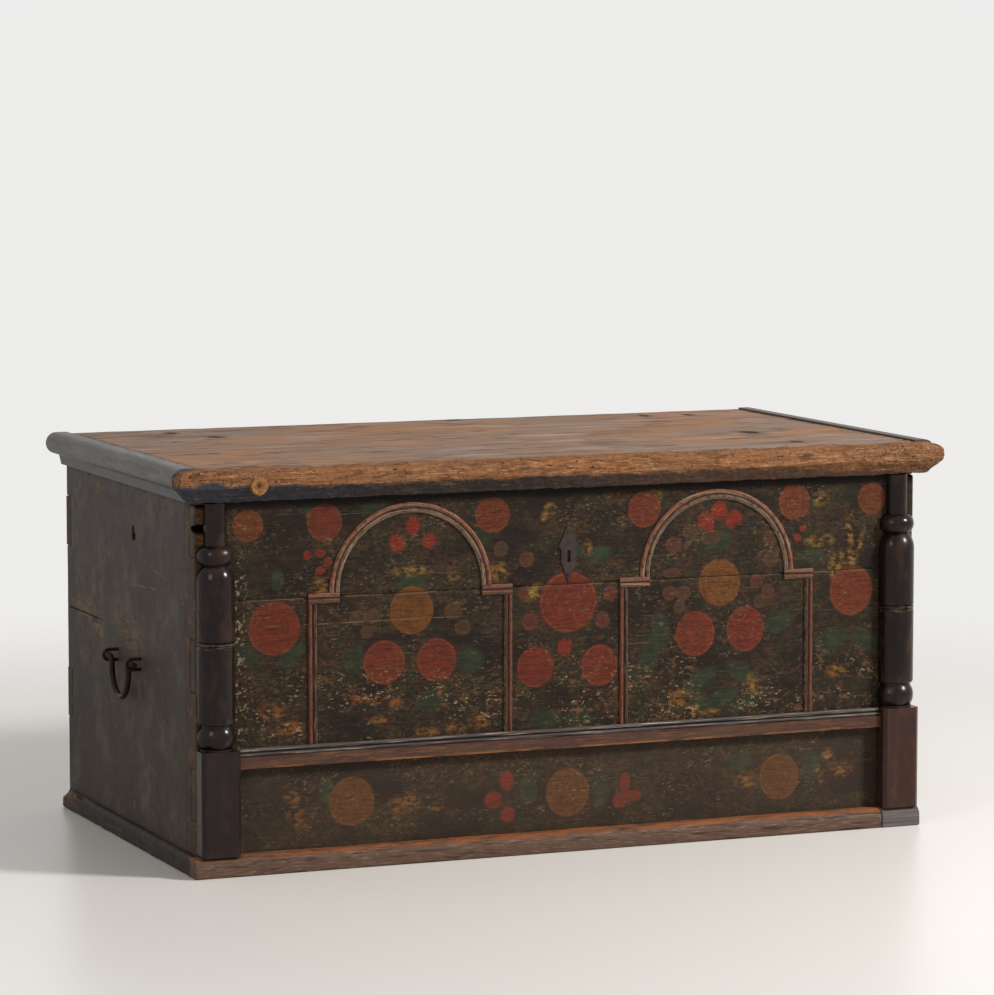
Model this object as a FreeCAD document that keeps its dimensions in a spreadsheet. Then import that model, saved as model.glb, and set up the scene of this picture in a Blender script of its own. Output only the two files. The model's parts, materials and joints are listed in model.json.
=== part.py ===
import FreeCAD, Part
import math
import operator
import os

import Sketcher
from FreeCAD import Placement, Rotation, Vector

# A painted plank trunk with turned half columns, an arcaded front, a moulded lid,
# strap hinges, a box lock and a drop handle on each end.
# Millimetres, +X to the right, -Y to the front, +Z up, origin under the middle of the whole.

doc = FreeCAD.newDocument("painted_trunk")

# Driving dimensions, one named value for each size that a maker would set.
SIZES = {
    # Case
    "case_width": 1150.0,
    "case_depth": 626.0,
    "front_thickness": 24.0,
    "side_thickness": 24.0,
    "back_thickness": 22.0,
    "bottom_thickness": 22.0,
    "overall_height": 588.0,
    "front_top_board_height": 164.0,
    "front_lower_seam": 167.0,
    "side_seam": 316.0,
    "back_seam": 300.0,
    "tenon_height": 76.0,
    "tenon_lift": 21.0,
    # Base moulding
    "base_height": 29.0,
    "base_front_projection": 28.0,
    "base_side_projection": 12.0,
    "base_front_round_share": 0.517,
    "base_side_round_share": 0.667,
    "base_patch_length": 64.0,
    "base_patch_overhang": 2.0,
    # Corner plinths and half columns
    "corner_inset": 0.5,
    "plinth_width": 59.0,
    "plinth_projection": 27.0,
    "plinth_top": 181.5,
    "plinth_chamfer": 5.0,
    "column_gap": 1.0,
    "column_bead_radius": 29.0,
    "column_foot_radius": 26.0,
    "column_foot_height": 3.0,
    "column_bead_height": 31.0,
    "column_groove_radius": 24.0,
    "column_groove_height": 3.0,
    "column_shaft_radius": 28.4,
    "column_neck_height": 60.5,
    "column_shoulder_height": 23.0,
    "column_shoulder_radius": 19.5,
    "column_ring_radius": 27.6,
    "column_ring_height": 29.0,
    "column_neck_radius": 17.0,
    "column_line_share": 0.496,
    "column_line_depth": 1.2,
    "column_line_width": 2.4,
    # Rail between arcade and frieze
    "rail_bottom": 153.0,
    "rail_fascia_height": 17.0,
    "rail_projection": 15.0,
    "rail_reed_width": 5.5,
    "rail_reed_rise": 1.4,
    "rail_reed_setback": 4.5,
    "rail_end_gap": 0.5,
    # Arcade mouldings
    "arch_place_share": 0.476,
    "arch_span_share": 0.3083,
    "arch_round_share": 0.7937,
    "arch_headroom": 12.0,
    "arch_strip_width": 15.0,
    "arch_post_width": 13.0,
    "strip_edge": 1.6,
    "strip_reed_rise": 2.0,
    "strip_groove": 1.6,
    # Keyhole and escutcheon
    "keyhole_side_shift": 4.0,
    "keyhole_below_lid": 122.0,
    "keyhole_radius": 3.4,
    "keyhole_slot_width": 5.4,
    "keyhole_slot_drop": 9.0,
    "keyhole_eye_rise": 6.0,
    "plate_thickness": 1.6,
    "plate_rise": 45.0,
    "plate_drop": 39.0,
    "plate_tip_width": 5.0,
    "plate_half_width": 16.0,
    "plate_waist": 12.0,
    "plate_shoulder_rise": 15.0,
    "plate_waist_rise": 9.0,
    "plate_pin_inset": 8.0,
    "plate_low_pin_inset": 12.0,
    "pin_shank_radius": 1.2,
    "pin_head_radius": 2.2,
    "pin_head_height": 1.2,
    "pin_shank_length": 14.0,
    # Box lock
    "lock_width": 130.0,
    "lock_below_lid": 13.0,
    "lock_height": 137.0,
    "lock_depth": 28.0,
    "lock_sheet": 2.5,
    "bolt_height": 10.0,
    "bolt_thickness": 6.0,
    "bolt_length": 52.0,
    "bolt_retreat": 8.0,
    "bolt_clearance": 0.2,
    "bolt_headroom": 1.5,
    "bolt_lift": 2.0,
    "guide_width": 8.0,
    "guide_spacing": 28.0,
    "guide_height": 4.0,
    "staple_wire_radius": 2.5,
    "staple_side_clearance": 1.0,
    "staple_plate_length": 60.0,
    "staple_plate_thickness": 3.0,
    "staple_clearance": 2.0,
    # Lid
    "plank_thickness": 28.0,
    "plank_drop": 2.0,
    "lid_clearance": 0.5,
    "lid_front_overhang": 36.0,
    "lid_side_overhang": 34.0,
    "lid_back_setback": 6.0,
    "lid_lip_drop": 20.0,
    "lid_lip_clearance": 1.0,
    "edge_round_width": 18.0,
    "edge_round_drop": 11.0,
    "edge_nose_height": 15.0,
    "edge_chamfer": 20.0,
    "torus_share": 0.4853,
    "torus_fillet": 4.0,
    "torus_skirt_taper": 4.0,
    "front_plank_share": 0.3446,
    "middle_plank_share": 0.3188,
    # Strap hinges
    "hinge_place_share": 0.661,
    "strap_width": 30.0,
    "strap_tip_width": 16.0,
    "strap_thickness": 4.0,
    "lid_strap_share": 0.687,
    "back_strap_length": 170.0,
    "eye_radius": 7.0,
    "hinge_pin_radius": 3.0,
    "pin_clearance": 0.05,
    "knuckle_width": 14.0,
    "knuckle_gap": 0.4,
    "knuckle_relief": 2.0,
    "notch_clearance": 0.3,
    # Drop handles
    "handle_height": 273.0,
    "handle_stand_off": 14.0,
    "handle_rod_radius": 4.5,
    "handle_spread": 114.0,
    "handle_tip_length": 13.0,
    "handle_shoulder_gap": 7.0,
    "handle_bend": 10.0,
    "handle_drop": 55.0,
    "eye_wire_radius": 2.6,
    "eye_clearance": 0.7,
    "eye_leg_share": 0.75,
    # Nails
    "nail_radius": 2.0,
    "nail_head_radius": 4.5,
    "nail_head_height": 2.0,
    "nail_depth": 18.0,
    "end_nail_depth": 62.0,
    "nail_clearance": 0.06,
}

sheet = doc.addObject("Spreadsheet::Sheet", "Sizes")
for row, (alias, value) in enumerate(SIZES.items(), start=1):
    sheet.set(f"A{row}", alias)
    sheet.set(f"B{row}", str(value))
    sheet.setAlias(f"B{row}", alias)
doc.recompute()

OPERATIONS = {"+": operator.add, "-": operator.sub, "*": operator.mul, "/": operator.truediv}


def number(value):
    return value.number if isinstance(value, Size) else value


def formula(value):
    return value.formula if isinstance(value, Size) else str(value)


def combine(left, sign, right):
    result = OPERATIONS[sign](number(left), number(right))
    return Size(result, f"({formula(left)} {sign} {formula(right)})")


class Size:
    """A length that knows its number and the sheet formula behind it."""

    def __init__(self, value, text):
        self.number = value
        self.formula = text

    def __add__(self, other):
        return combine(self, "+", other)

    def __radd__(self, other):
        return combine(other, "+", self)

    def __sub__(self, other):
        return combine(self, "-", other)

    def __rsub__(self, other):
        return combine(other, "-", self)

    def __mul__(self, other):
        return combine(self, "*", other)

    def __rmul__(self, other):
        return combine(other, "*", self)

    def __truediv__(self, other):
        return combine(self, "/", other)

    def __neg__(self):
        return combine(0, "-", self)


def size(alias):
    return Size(float(sheet.get(alias)), f"Sizes.{alias}")


def arc_radius(half_chord, rise):
    """Radius of the arc that rises this far over half a chord."""
    return (half_chord * half_chord + rise * rise) / (2 * rise)


# Helpers that bind a feature to the sheet

def bind(feature, name, value):
    feature.setExpression(name, formula(value))


def place(feature, x, y, z, turn=None):
    if turn is not None:
        feature.Placement = Placement(Vector(), turn)
    for axis, value in zip("xyz", (x, y, z)):
        bind(feature, f"Placement.Base.{axis}", value)
    return feature


def named(kind, label):
    feature = doc.addObject(kind, label)
    feature.Label = label
    return feature


def board(label, x, y, z):
    """A straight board between two faces along each axis."""
    box = named("Part::Box", label)
    for name, (low, high) in zip(("Length", "Width", "Height"), (x, y, z)):
        bind(box, name, high - low)
    return place(box, x[0], y[0], z[0])


ALONG = {
    "x": Rotation(Vector(0, 1, 0), 90),
    "y": Rotation(Vector(1, 0, 0), -90),
    "z": Rotation(),
}


def rod(label, axis, start, radius, length):
    """A round rod that runs from its start along +X, +Y or +Z."""
    cylinder = named("Part::Cylinder", label)
    bind(cylinder, "Radius", radius)
    bind(cylinder, "Height", length)
    return place(cylinder, *start, turn=ALONG[axis])


def group(label, members):
    compound = named("Part::Compound", label)
    compound.Links = members
    return compound


def cut(label, base, tools):
    result = named("Part::Cut", label)
    result.Base = base
    result.Tool = tools[0] if len(tools) == 1 else group(label + "_tools", tools)
    return result


def fuse(label, members):
    result = named("Part::MultiFuse", label)
    result.Shapes = members
    result.Refine = True
    return result


def new_body(label):
    return named("PartDesign::Body", label)


def attach(body, name, role, offset):
    sketch = body.newObject("Sketcher::SketchObject", name)
    plane = next(item for item in body.Origin.OriginFeatures if item.Role == role)
    sketch.AttachmentSupport = (plane, "")
    sketch.MapMode = "FlatFace"
    bind(sketch, "AttachmentOffset.Base.z", offset)
    return sketch


def edge_between(start, corner):
    """A line, or an arc for a corner that adds a radius and a turn, and its two end marks."""
    first = Vector(number(start[0]), number(start[1]), 0)
    last = Vector(number(corner[0]), number(corner[1]), 0)
    if len(corner) == 2:
        return Part.LineSegment(first, last), 1, 2
    radius = number(corner[2])
    turn = corner[3]
    chord = last - first
    height = math.sqrt(max(radius ** 2 - (chord.Length / 2) ** 2, 0))
    left = Vector(-chord.y, chord.x, 0) / chord.Length
    centre = (first + last) / 2 + left * height * turn
    angles = [math.atan2(p.y - centre.y, p.x - centre.x) for p in (first, last)]
    circle = Part.Circle(centre, Vector(0, 0, 1), radius)
    if turn > 0:
        return Part.ArcOfCircle(circle, *angles), 1, 2
    return Part.ArcOfCircle(circle, *reversed(angles)), 2, 1


def fix_point(sketch, index, mark, corner):
    for kind, value in zip(("DistanceX", "DistanceY"), corner):
        rule = sketch.addConstraint(Sketcher.Constraint(kind, -1, 1, index, mark, number(value)))
        bind(sketch, f"Constraints[{rule}]", value)


def draw(sketch, corners, closed=True):
    """Draw an outline through its corners, with every corner and radius bound to the sheet."""
    steps = list(zip(corners, corners[1:] + corners[:1] if closed else corners[1:]))
    ends = []
    for start, corner in steps:
        edge, head, tail = edge_between(start, corner)
        index = sketch.addGeometry(edge, False)
        if ends:
            sketch.addConstraint(Sketcher.Constraint("Coincident", *ends[-1][1], index, head))
        ends.append(((index, head), (index, tail)))
        fix_point(sketch, index, tail, corner)
        if len(corner) > 2:
            rule = sketch.addConstraint(Sketcher.Constraint("Radius", index, number(corner[2])))
            bind(sketch, f"Constraints[{rule}]", corner[2])
    if closed:
        sketch.addConstraint(Sketcher.Constraint("Coincident", *ends[-1][1], *ends[0][0]))
    else:
        fix_point(sketch, *ends[0][0], corners[0])
    return sketch


def run(label, role, corners, start, length):
    """A strip of one section: YZ runs along +X, XZ along -Y and XY along +Z."""
    body = new_body(label)
    sketch = draw(attach(body, label + "_section", role + "_Plane", start), corners)
    pad = body.newObject("PartDesign::Pad", label + "_run")
    pad.Profile = sketch
    bind(pad, "Length", length)
    return body


def turned(label, role, corners, angle, reverse):
    """A section turned about the upright axis of its sketch."""
    body = new_body(label)
    sketch = draw(attach(body, label + "_section", role + "_Plane", 0), corners)
    revolution = body.newObject("PartDesign::Revolution", label + "_turn")
    revolution.Profile = sketch
    revolution.ReferenceAxis = (sketch, ["V_Axis"])
    revolution.Angle = angle
    revolution.Reversed = reverse
    return body


# Half rings of wire, and the ways they face: down, or out from either end

RING_DOWN = Rotation(Vector(0, 1, 0), Vector(0, 0, -1), Vector(-1, 0, 0), "ZXY")
RING_OUT = {
    -1: Rotation(Vector(0, 0, 1), Vector(-1, 0, 0), Vector(0, -1, 0), "ZXY"),
    1: Rotation(Vector(0, 0, -1), Vector(1, 0, 0), Vector(0, -1, 0), "ZXY"),
}


def half_ring(label, radius, wire):
    """Half of a wire ring about its own Z axis, on the +Y side of its X axis."""
    ring = named("Part::Torus", label)
    bind(ring, "Radius1", radius)
    bind(ring, "Radius2", wire)
    ring.Angle3 = 180
    return ring


# Places worked out from the driving dimensions

half_width = size("case_width") / 2
hinge_reach = 2 * size("eye_radius")
whole_depth = size("lid_front_overhang") + size("case_depth") + hinge_reach
lid_nose = -(whole_depth / 2)
front_face = lid_nose + size("lid_front_overhang")
back_face = front_face + size("case_depth")
front_inside = front_face + size("front_thickness")
back_inside = back_face - size("back_thickness")
side_inside = half_width - size("side_thickness")
plank_top = size("overall_height") - size("plank_drop")
lid_underside = plank_top - size("plank_thickness")
wall_top = lid_underside - size("lid_clearance")
lip_bottom = lid_underside - size("lid_lip_drop")
floor_top = size("bottom_thickness")
front_seam = lid_underside - size("front_top_board_height")
keyhole = (size("keyhole_side_shift"), lid_underside - size("keyhole_below_lid"))
hinge_x = half_width * size("hinge_place_share")
SIDES = {"left": -1, "right": 1}
PLANKS = ("front", "middle", "back")

# Nails stand at these shares of the length they hold

END_NAIL_SHARES = (0.1, 0.37, 0.64, 0.9)
BACK_NAIL_SHARES = (0.3, 0.55, 0.78)
LID_NAIL_SHARES = (0.2, 0.5, 0.85)


def nails(label, axis, places, into, depth, sunk=False):
    """Flat-headed nails and the holes that take them.

    The shank runs along +axis where into is 1 and along -axis where it is -1.
    A sunk head lies flush with the face, and a plain one stands on it.
    """
    step = "xyz".index(axis)
    head_height = size("nail_head_height")
    clearance = size("nail_clearance")
    solids = []
    holes = []
    for count, spot in enumerate(places):
        tail = list(spot)
        head = list(spot)
        if into < 0:
            tail[step] = spot[step] - depth
        if (into > 0) != sunk:
            head[step] = spot[step] - head_height
        name = f"{label}_{count}"
        shank = rod(name + "_shank", axis, tail, size("nail_radius"), depth)
        cap = rod(name + "_head", axis, head, size("nail_head_radius"), head_height)
        solids.append(fuse(name, [shank, cap]))
        hole = rod(name + "_hole", axis, tail, size("nail_radius") + clearance, depth)
        if sunk:
            seat = rod(name + "_seat", axis, head, size("nail_head_radius") + clearance, head_height)
            hole = fuse(name + "_sunk_hole", [hole, seat])
        holes.append(hole)
    return solids, holes


# Case walls and bottom

def tenons(label, y, z):
    """The tongue at each end of a front or back board, which shows on the end of the trunk."""
    middle = (z[0] + z[1]) / 2 + size("tenon_lift")
    level = (middle - size("tenon_height") / 2, middle + size("tenon_height") / 2)
    return [
        board(f"{label}_left_tongue", (-half_width, -side_inside), y, level),
        board(f"{label}_right_tongue", (side_inside, half_width), y, level),
    ]


def tenoned(label, y, z, tools=()):
    """A board between the ends, with a tongue through each of them."""
    panel = board(f"{label}_panel", (-side_inside, side_inside), y, z)
    if not tools:
        return fuse(label, [panel] + tenons(label, y, z))
    blank = fuse(f"{label}_blank", [panel] + tenons(label, y, z))
    return cut(label, blank, list(tools))


def keyhole_tools(label, y):
    """A round eye over a straight slot, from one face to another."""
    key_x, key_z = keyhole
    eye_z = key_z + size("keyhole_eye_rise")
    half_slot = size("keyhole_slot_width") / 2
    eye = rod(f"{label}_eye", "y", (key_x, y[0], eye_z), size("keyhole_radius"), y[1] - y[0])
    slot = board(f"{label}_slot", (key_x - half_slot, key_x + half_slot), y,
                 (key_z - size("keyhole_slot_drop"), eye_z))
    return fuse(label, [eye, slot])


def hinge_notches(y):
    depth = size("strap_thickness") + size("notch_clearance")
    half_notch = size("strap_width") / 2 + size("notch_clearance")
    tools = []
    for side, sign in SIDES.items():
        middle = sign * hinge_x
        tools.append(board(f"{side}_hinge_notch", (middle - half_notch, middle + half_notch), y,
                           (lid_underside - depth, lid_underside)))
    return tools


def case_boards(pin_holes, back_nail_holes):
    front = (front_face, front_inside)
    back = (back_inside, back_face)
    frieze = (floor_top, size("front_lower_seam"))
    middle = (size("front_lower_seam"), front_seam)
    upper = (front_seam, wall_top)
    lock_holes = [keyhole_tools("board_keyhole", front)] + pin_holes
    back_low = (floor_top, size("back_seam"))
    back_high = (size("back_seam"), wall_top)
    parts = [
        tenoned("front_frieze_board", front, frieze),
        tenoned("front_middle_board", front, middle, lock_holes),
        tenoned("front_top_board", front, upper, lock_holes),
        tenoned("back_lower_board", back, back_low, back_nail_holes),
        tenoned("back_upper_board", back, back_high, hinge_notches(back) + back_nail_holes),
    ]
    mortises = []
    for y, z in ((front, frieze), (front, middle), (front, upper), (back, back_low), (back, back_high)):
        mortises += tenons(f"mortise_{len(mortises)}", y, z)

    whole = (front_face, back_face)
    for side, sign in SIDES.items():
        faces = (side_inside, half_width) if sign > 0 else (-half_width, -side_inside)
        lower = board(f"{side}_side_lower_blank", faces, whole, (floor_top, size("side_seam")))
        upper = board(f"{side}_side_upper_blank", faces, whole, (size("side_seam"), wall_top))
        openings = mortises + handle_leg_holes(side, sign)
        parts.append(cut(f"{side}_side_lower_board", lower, openings))
        parts.append(cut(f"{side}_side_upper_board", upper, openings))

    width = size("case_depth") / len(PLANKS)
    for index, name in enumerate(PLANKS):
        start = front_face + index * width
        parts.append(board(f"bottom_board_{name}", (-half_width, half_width), (start, start + width),
                           (0, floor_top)))
    return parts


# Base moulding, with a patch at the right front corner that was sawn off nearly flush with the case

def base_section(projection, rounding, inward, reach):
    """Section of the base strip; inward is the face it is fixed to, reach its outward sign."""
    top = size("base_height")
    out = inward + reach * projection
    corners = [
        (inward, 0),
        (out, 0),
        (out, top - rounding),
        (out - reach * rounding, top, rounding, reach),
        (inward, top),
    ]
    return corners


def base_mouldings():
    end = half_width + size("base_side_projection")
    patch_end = half_width + size("base_patch_overhang")
    patch_start = patch_end - size("base_patch_length")
    rounding = size("base_height") * size("base_front_round_share")
    section = base_section(size("base_front_projection"), rounding, front_face, -1)
    parts = [
        run("base_moulding_front", "YZ", section, -end, patch_start + end),
        run("base_corner_patch", "YZ", section, patch_start, size("base_patch_length")),
    ]
    rounding = size("base_side_projection") * size("base_side_round_share")
    for side, sign in SIDES.items():
        section = base_section(size("base_side_projection"), rounding, sign * half_width, sign)
        parts.append(run(f"base_moulding_{side}", "XZ", section, -back_face, size("case_depth")))
    return parts


# Corner plinth blocks and turned half columns

column_x = half_width - size("corner_inset") - size("plinth_width") / 2
clear_half_width = column_x - size("plinth_width") / 2


def plinth(side, sign):
    half = size("plinth_width") / 2
    out = -size("plinth_projection")
    chamfer = size("plinth_chamfer")
    corners = [
        (-half, 0),
        (-half, out + chamfer),
        (chamfer - half, out),
        (half - chamfer, out),
        (half, out + chamfer),
        (half, 0),
    ]
    height = size("plinth_top") - size("base_height")
    block = run(f"{side}_plinth_block", "XY", corners, 0, height)
    return place(block, sign * column_x, front_face, size("base_height"))


def column(side, sign):
    """Half of a turning: foot fillet, bead, scribed shaft with a round shoulder, ring and neck."""
    bead, ring = size("column_bead_radius"), size("column_ring_radius")
    groove = size("column_groove_radius")
    shaft, shoulder = size("column_shaft_radius"), size("column_shoulder_radius")
    foot_top = size("column_foot_height")
    bead_top = foot_top + size("column_bead_height")
    shaft_foot = bead_top + size("column_groove_height")
    top = lip_bottom - size("column_gap") - size("plinth_top")
    ring_top = top - size("column_neck_height")
    shaft_top = ring_top - size("column_ring_height")
    shoulder_start = shaft_top - size("column_shoulder_height")
    neck = size("column_neck_radius")
    line = shaft_foot + (shaft_top - shaft_foot) * size("column_line_share")
    line_width = size("column_line_width")
    scribe = []
    for start in (line, line + 2 * line_width):
        scribe += [(shaft, start), (shaft - size("column_line_depth"), start + line_width / 2),
                   (shaft, start + line_width)]
    half_bead = size("column_bead_height") / 2
    ring_half = size("column_ring_height") / 2
    corners = [
        (0, 0),
        (size("column_foot_radius"), 0),
        (size("column_foot_radius"), foot_top),
        (groove, foot_top),
        (groove, bead_top, arc_radius(half_bead, bead - groove), 1),
        (groove, shaft_foot),
        (shaft, shaft_foot + (shaft - groove), shaft - groove, 1),
        *scribe,
        (shaft, shoulder_start),
        (shoulder, shaft_top, arc_radius(size("column_shoulder_height"), shaft - shoulder), 1),
        (shoulder, ring_top, arc_radius(ring_half, ring - shoulder), 1),
        (neck, ring_top),
        (neck, top),
        (0, top),
    ]
    half_turning = turned(f"{side}_column", "XZ", corners, 180, True)
    return place(half_turning, sign * column_x, front_face, size("plinth_top"))


# Rail with two reeds over a plain fascia

def mid_rail():
    out = front_face - size("rail_projection")
    low = size("rail_bottom")
    fascia_top = low + size("rail_fascia_height")
    reed, setback = size("rail_reed_width"), size("rail_reed_setback")
    bulge = arc_radius(reed / 2, size("rail_reed_rise"))
    corners = [
        (front_face, low),
        (out, low),
        (out, fascia_top),
        (out + setback, fascia_top),
        (out + setback, fascia_top + reed, bulge, -1),
        (out + 2 * setback, fascia_top + reed),
        (out + 2 * setback, fascia_top + 2 * reed, bulge, -1),
        (front_face, fascia_top + 2 * reed),
    ]
    end = clear_half_width - size("rail_end_gap")
    return run("mid_rail_moulding", "YZ", corners, -end, 2 * end)


# Arcade strips, each with two reeds and a groove between them

def reeded(start, width, outward):
    """Section points along a strip: across the strip, then out from the face."""
    edge = outward * size("strip_edge")
    reed = (width - size("strip_groove")) / 2
    bulge = arc_radius(reed / 2, size("strip_reed_rise"))
    return [
        (start, 0),
        (start, edge),
        (start + reed, edge, bulge, outward * -1),
        (start + width - reed, edge),
        (start + width, edge, bulge, outward * -1),
        (start + width, 0),
    ]


def swapped(corners):
    """The same section with its two directions changed over."""
    return [(c[1], c[0]) + ((c[2], -c[3]) if len(c) > 2 else ()) for c in corners]


def arcade(side, sign):
    middle = sign * clear_half_width * size("arch_place_share")
    width, post_width = size("arch_strip_width"), size("arch_post_width")
    half_span = clear_half_width * size("arch_span_share")
    outer = half_span * size("arch_round_share")
    inner = outer - width
    springing = lip_bottom - size("arch_headroom") - outer
    shoulder_foot = springing - width
    rail_top = size("rail_bottom") + size("rail_fascia_height") + 2 * size("rail_reed_width")
    ring = turned(f"{side}_arch_ring", "XY", reeded(inner, width, -1), 180, True)
    parts = [place(ring, middle, front_face, springing)]
    for hand, reach in SIDES.items():
        low_x = inner if reach > 0 else -half_span
        section = swapped(reeded(0, width, -1))
        shoulder = run(f"{side}_arch_shoulder_{hand}", "YZ", section, low_x, half_span - inner)
        parts.append(place(shoulder, middle, front_face, shoulder_foot))
        post_x = half_span - post_width if reach > 0 else -half_span
        post = run(f"{side}_arch_post_{hand}", "XY", reeded(post_x, post_width, -1), 0,
                   shoulder_foot - rail_top)
        parts.append(place(post, middle, front_face, rail_top))
    return parts


# Escutcheon plate with its two pins

def escutcheon():
    key_x, key_z = keyhole
    wide, waist, tip = size("plate_half_width"), size("plate_waist"), size("plate_tip_width") / 2
    right = [
        (tip, size("plate_rise")),
        (wide, size("plate_shoulder_rise")),
        (waist, size("plate_waist_rise")),
        (waist, -size("plate_waist_rise")),
        (0, -size("plate_drop")),
    ]
    left = [(-x, z) for x, z in reversed(right[:-1])]
    thickness = size("plate_thickness")
    blank = run("escutcheon_blank", "XZ", right + left, 0, thickness)
    place(blank, key_x, front_face, key_z)
    plate_front = front_face - thickness
    heights = (key_z + size("plate_rise") - size("plate_pin_inset"),
               key_z - size("plate_drop") + size("plate_low_pin_inset"))
    pins, holes = [], []
    for index, z in enumerate(heights):
        head = rod(f"escutcheon_pin_head_{index}", "y", (key_x, plate_front - size("pin_head_height"), z),
                   size("pin_head_radius"), size("pin_head_height"))
        holes.append(rod(f"escutcheon_pin_hole_{index}", "y", (key_x, plate_front, z),
                         size("pin_shank_radius") + size("nail_clearance"), size("pin_shank_length")))
        shank = rod(f"escutcheon_pin_shank_{index}", "y", (key_x, plate_front, z),
                    size("pin_shank_radius"), size("pin_shank_length"))
        pins.append(fuse(f"escutcheon_pin_{index}", [head, shank]))
    key_cut = keyhole_tools("escutcheon_keyhole", (plate_front, front_face))
    plate = cut("escutcheon_plate", blank, [key_cut] + holes)
    return plate, group("escutcheon_pins", pins), holes


# Box lock on the inside of the front, its sliding bolt, and the staple on the lid

def lock_parts():
    key_x = keyhole[0]
    sheet_metal = size("lock_sheet")
    half = size("lock_width") / 2
    back = front_inside + size("lock_depth")
    lock_top = lid_underside - size("lock_below_lid")
    lock_bottom = lock_top - size("lock_height")
    shell = board("lock_shell", (key_x - half, key_x + half), (front_inside, back),
                  (lock_bottom, lock_top))
    hollow = board("lock_hollow", (key_x - half + sheet_metal, key_x + half - sheet_metal),
                   (front_inside, back - sheet_metal),
                   (lock_bottom + sheet_metal, lock_top - sheet_metal))
    middle_y = front_inside + size("lock_depth") / 2
    wire = size("staple_wire_radius")
    spread = size("bolt_thickness") / 2 + size("staple_side_clearance") + wire
    reach_y = spread + wire + size("staple_clearance")
    reach_x = wire + size("staple_clearance")
    mouth = board("lock_mouth", (key_x - reach_x, key_x + reach_x), (middle_y - reach_y, middle_y + reach_y),
                  (lock_top - sheet_metal, lock_top))
    box = cut("lock_box", shell, [hollow, mouth])

    bolt_foot = lock_top - sheet_metal - size("bolt_headroom") - size("bolt_height")
    staple_bottom = bolt_foot - size("bolt_lift") - 2 * wire
    bolt_y = (middle_y - size("bolt_thickness") / 2, middle_y + size("bolt_thickness") / 2)
    tip_x = key_x - size("bolt_retreat")
    tail_x = tip_x - size("bolt_length")
    bolt = board("lock_bolt", (tail_x, tip_x), bolt_y, (bolt_foot, bolt_foot + size("bolt_height")))
    guides = []
    guide_top = bolt_foot - size("bolt_clearance")
    for index, guide_x in enumerate((tail_x, tail_x + size("guide_spacing"))):
        guides.append(board(f"lock_guide_{index}", (guide_x, guide_x + size("guide_width")),
                            (bolt_y[0], back - sheet_metal), (guide_top - size("guide_height"), guide_top)))
    case = fuse("lock_case", [box] + guides)

    plate_half = size("staple_plate_length") / 2
    plate = board("lock_staple_plate", (key_x - plate_half, key_x + plate_half),
                  (middle_y - reach_y, middle_y + reach_y),
                  (lid_underside - size("staple_plate_thickness"), lid_underside))
    arch_z = staple_bottom + wire + spread
    legs = []
    for hand, sign in SIDES.items():
        leg_y = middle_y + sign * spread
        legs.append(rod(f"lock_staple_leg_{hand}", "z", (key_x, leg_y, arch_z), wire,
                        lid_underside - size("staple_plate_thickness") - arch_z))
    bend = half_ring("lock_staple_bend", spread, wire)
    place(bend, key_x, middle_y, arch_z, turn=RING_DOWN)
    staple = fuse("lock_staple", [plate, bend] + legs)
    return case, bolt, staple


# Lid: front edge across the whole width, planks, and a moulding on each end of the planks

lid_end = half_width + size("lid_side_overhang")
plank_end = half_width + size("lid_lip_clearance")
lid_back = back_face - size("lid_back_setback")
plank_front = front_face - size("lid_lip_clearance")


def nosing(nose, inner, reach):
    """Section of the lid's front edge: rounded top, upright nose, long chamfer below."""
    width, drop = size("edge_round_width"), size("edge_round_drop")
    nose_low = plank_top - drop - size("edge_nose_height")
    return [
        (inner, lip_bottom),
        (nose - reach * size("edge_chamfer"), lip_bottom),
        (nose, nose_low),
        (nose, plank_top - drop),
        (nose - reach * width, plank_top, arc_radius(width, drop), reach),
        (inner, plank_top),
    ]


def lid_front_edge():
    length = 2 * lid_end
    strip = run("lid_front_edge_strip", "YZ", nosing(lid_nose, plank_front, -1), -lid_end, length)
    right = nosing(lid_end, 0, 1)[1:-1]
    left = [(-c[0], c[1]) for c in reversed(right)]
    left[1] = (left[1][0], left[1][1], right[-1][2], 1)
    ends = run("lid_front_edge_ends", "XZ", right + left, -plank_front, plank_front - lid_nose)
    edge = named("Part::Common", "lid_front_edge")
    edge.Base = strip
    edge.Tool = ends
    return edge


def end_moulding(side, sign):
    """Torus over a small fillet and a tapered skirt."""
    top = size("overall_height")
    radius = size("lid_side_overhang") * size("torus_share")
    inner = sign * plank_end
    nose = sign * lid_end
    start = nose - sign * radius
    skirt = start - sign * size("torus_fillet")
    corners = [
        (inner, lip_bottom),
        (skirt - sign * size("torus_skirt_taper"), lip_bottom),
        (skirt, top - 2 * radius),
        (start, top - 2 * radius),
        (nose, top - radius, radius, sign),
        (start, top, radius, sign),
        (inner, top),
    ]
    return run(f"lid_end_{side}_blank", "XZ", corners, -lid_back, lid_back - plank_front)


def end_nail_spots(sign):
    depth = lid_back - plank_front
    z = lid_underside + size("plank_thickness") / 2
    return [(sign * lid_end, plank_front + depth * share, z) for share in END_NAIL_SHARES]


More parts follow.
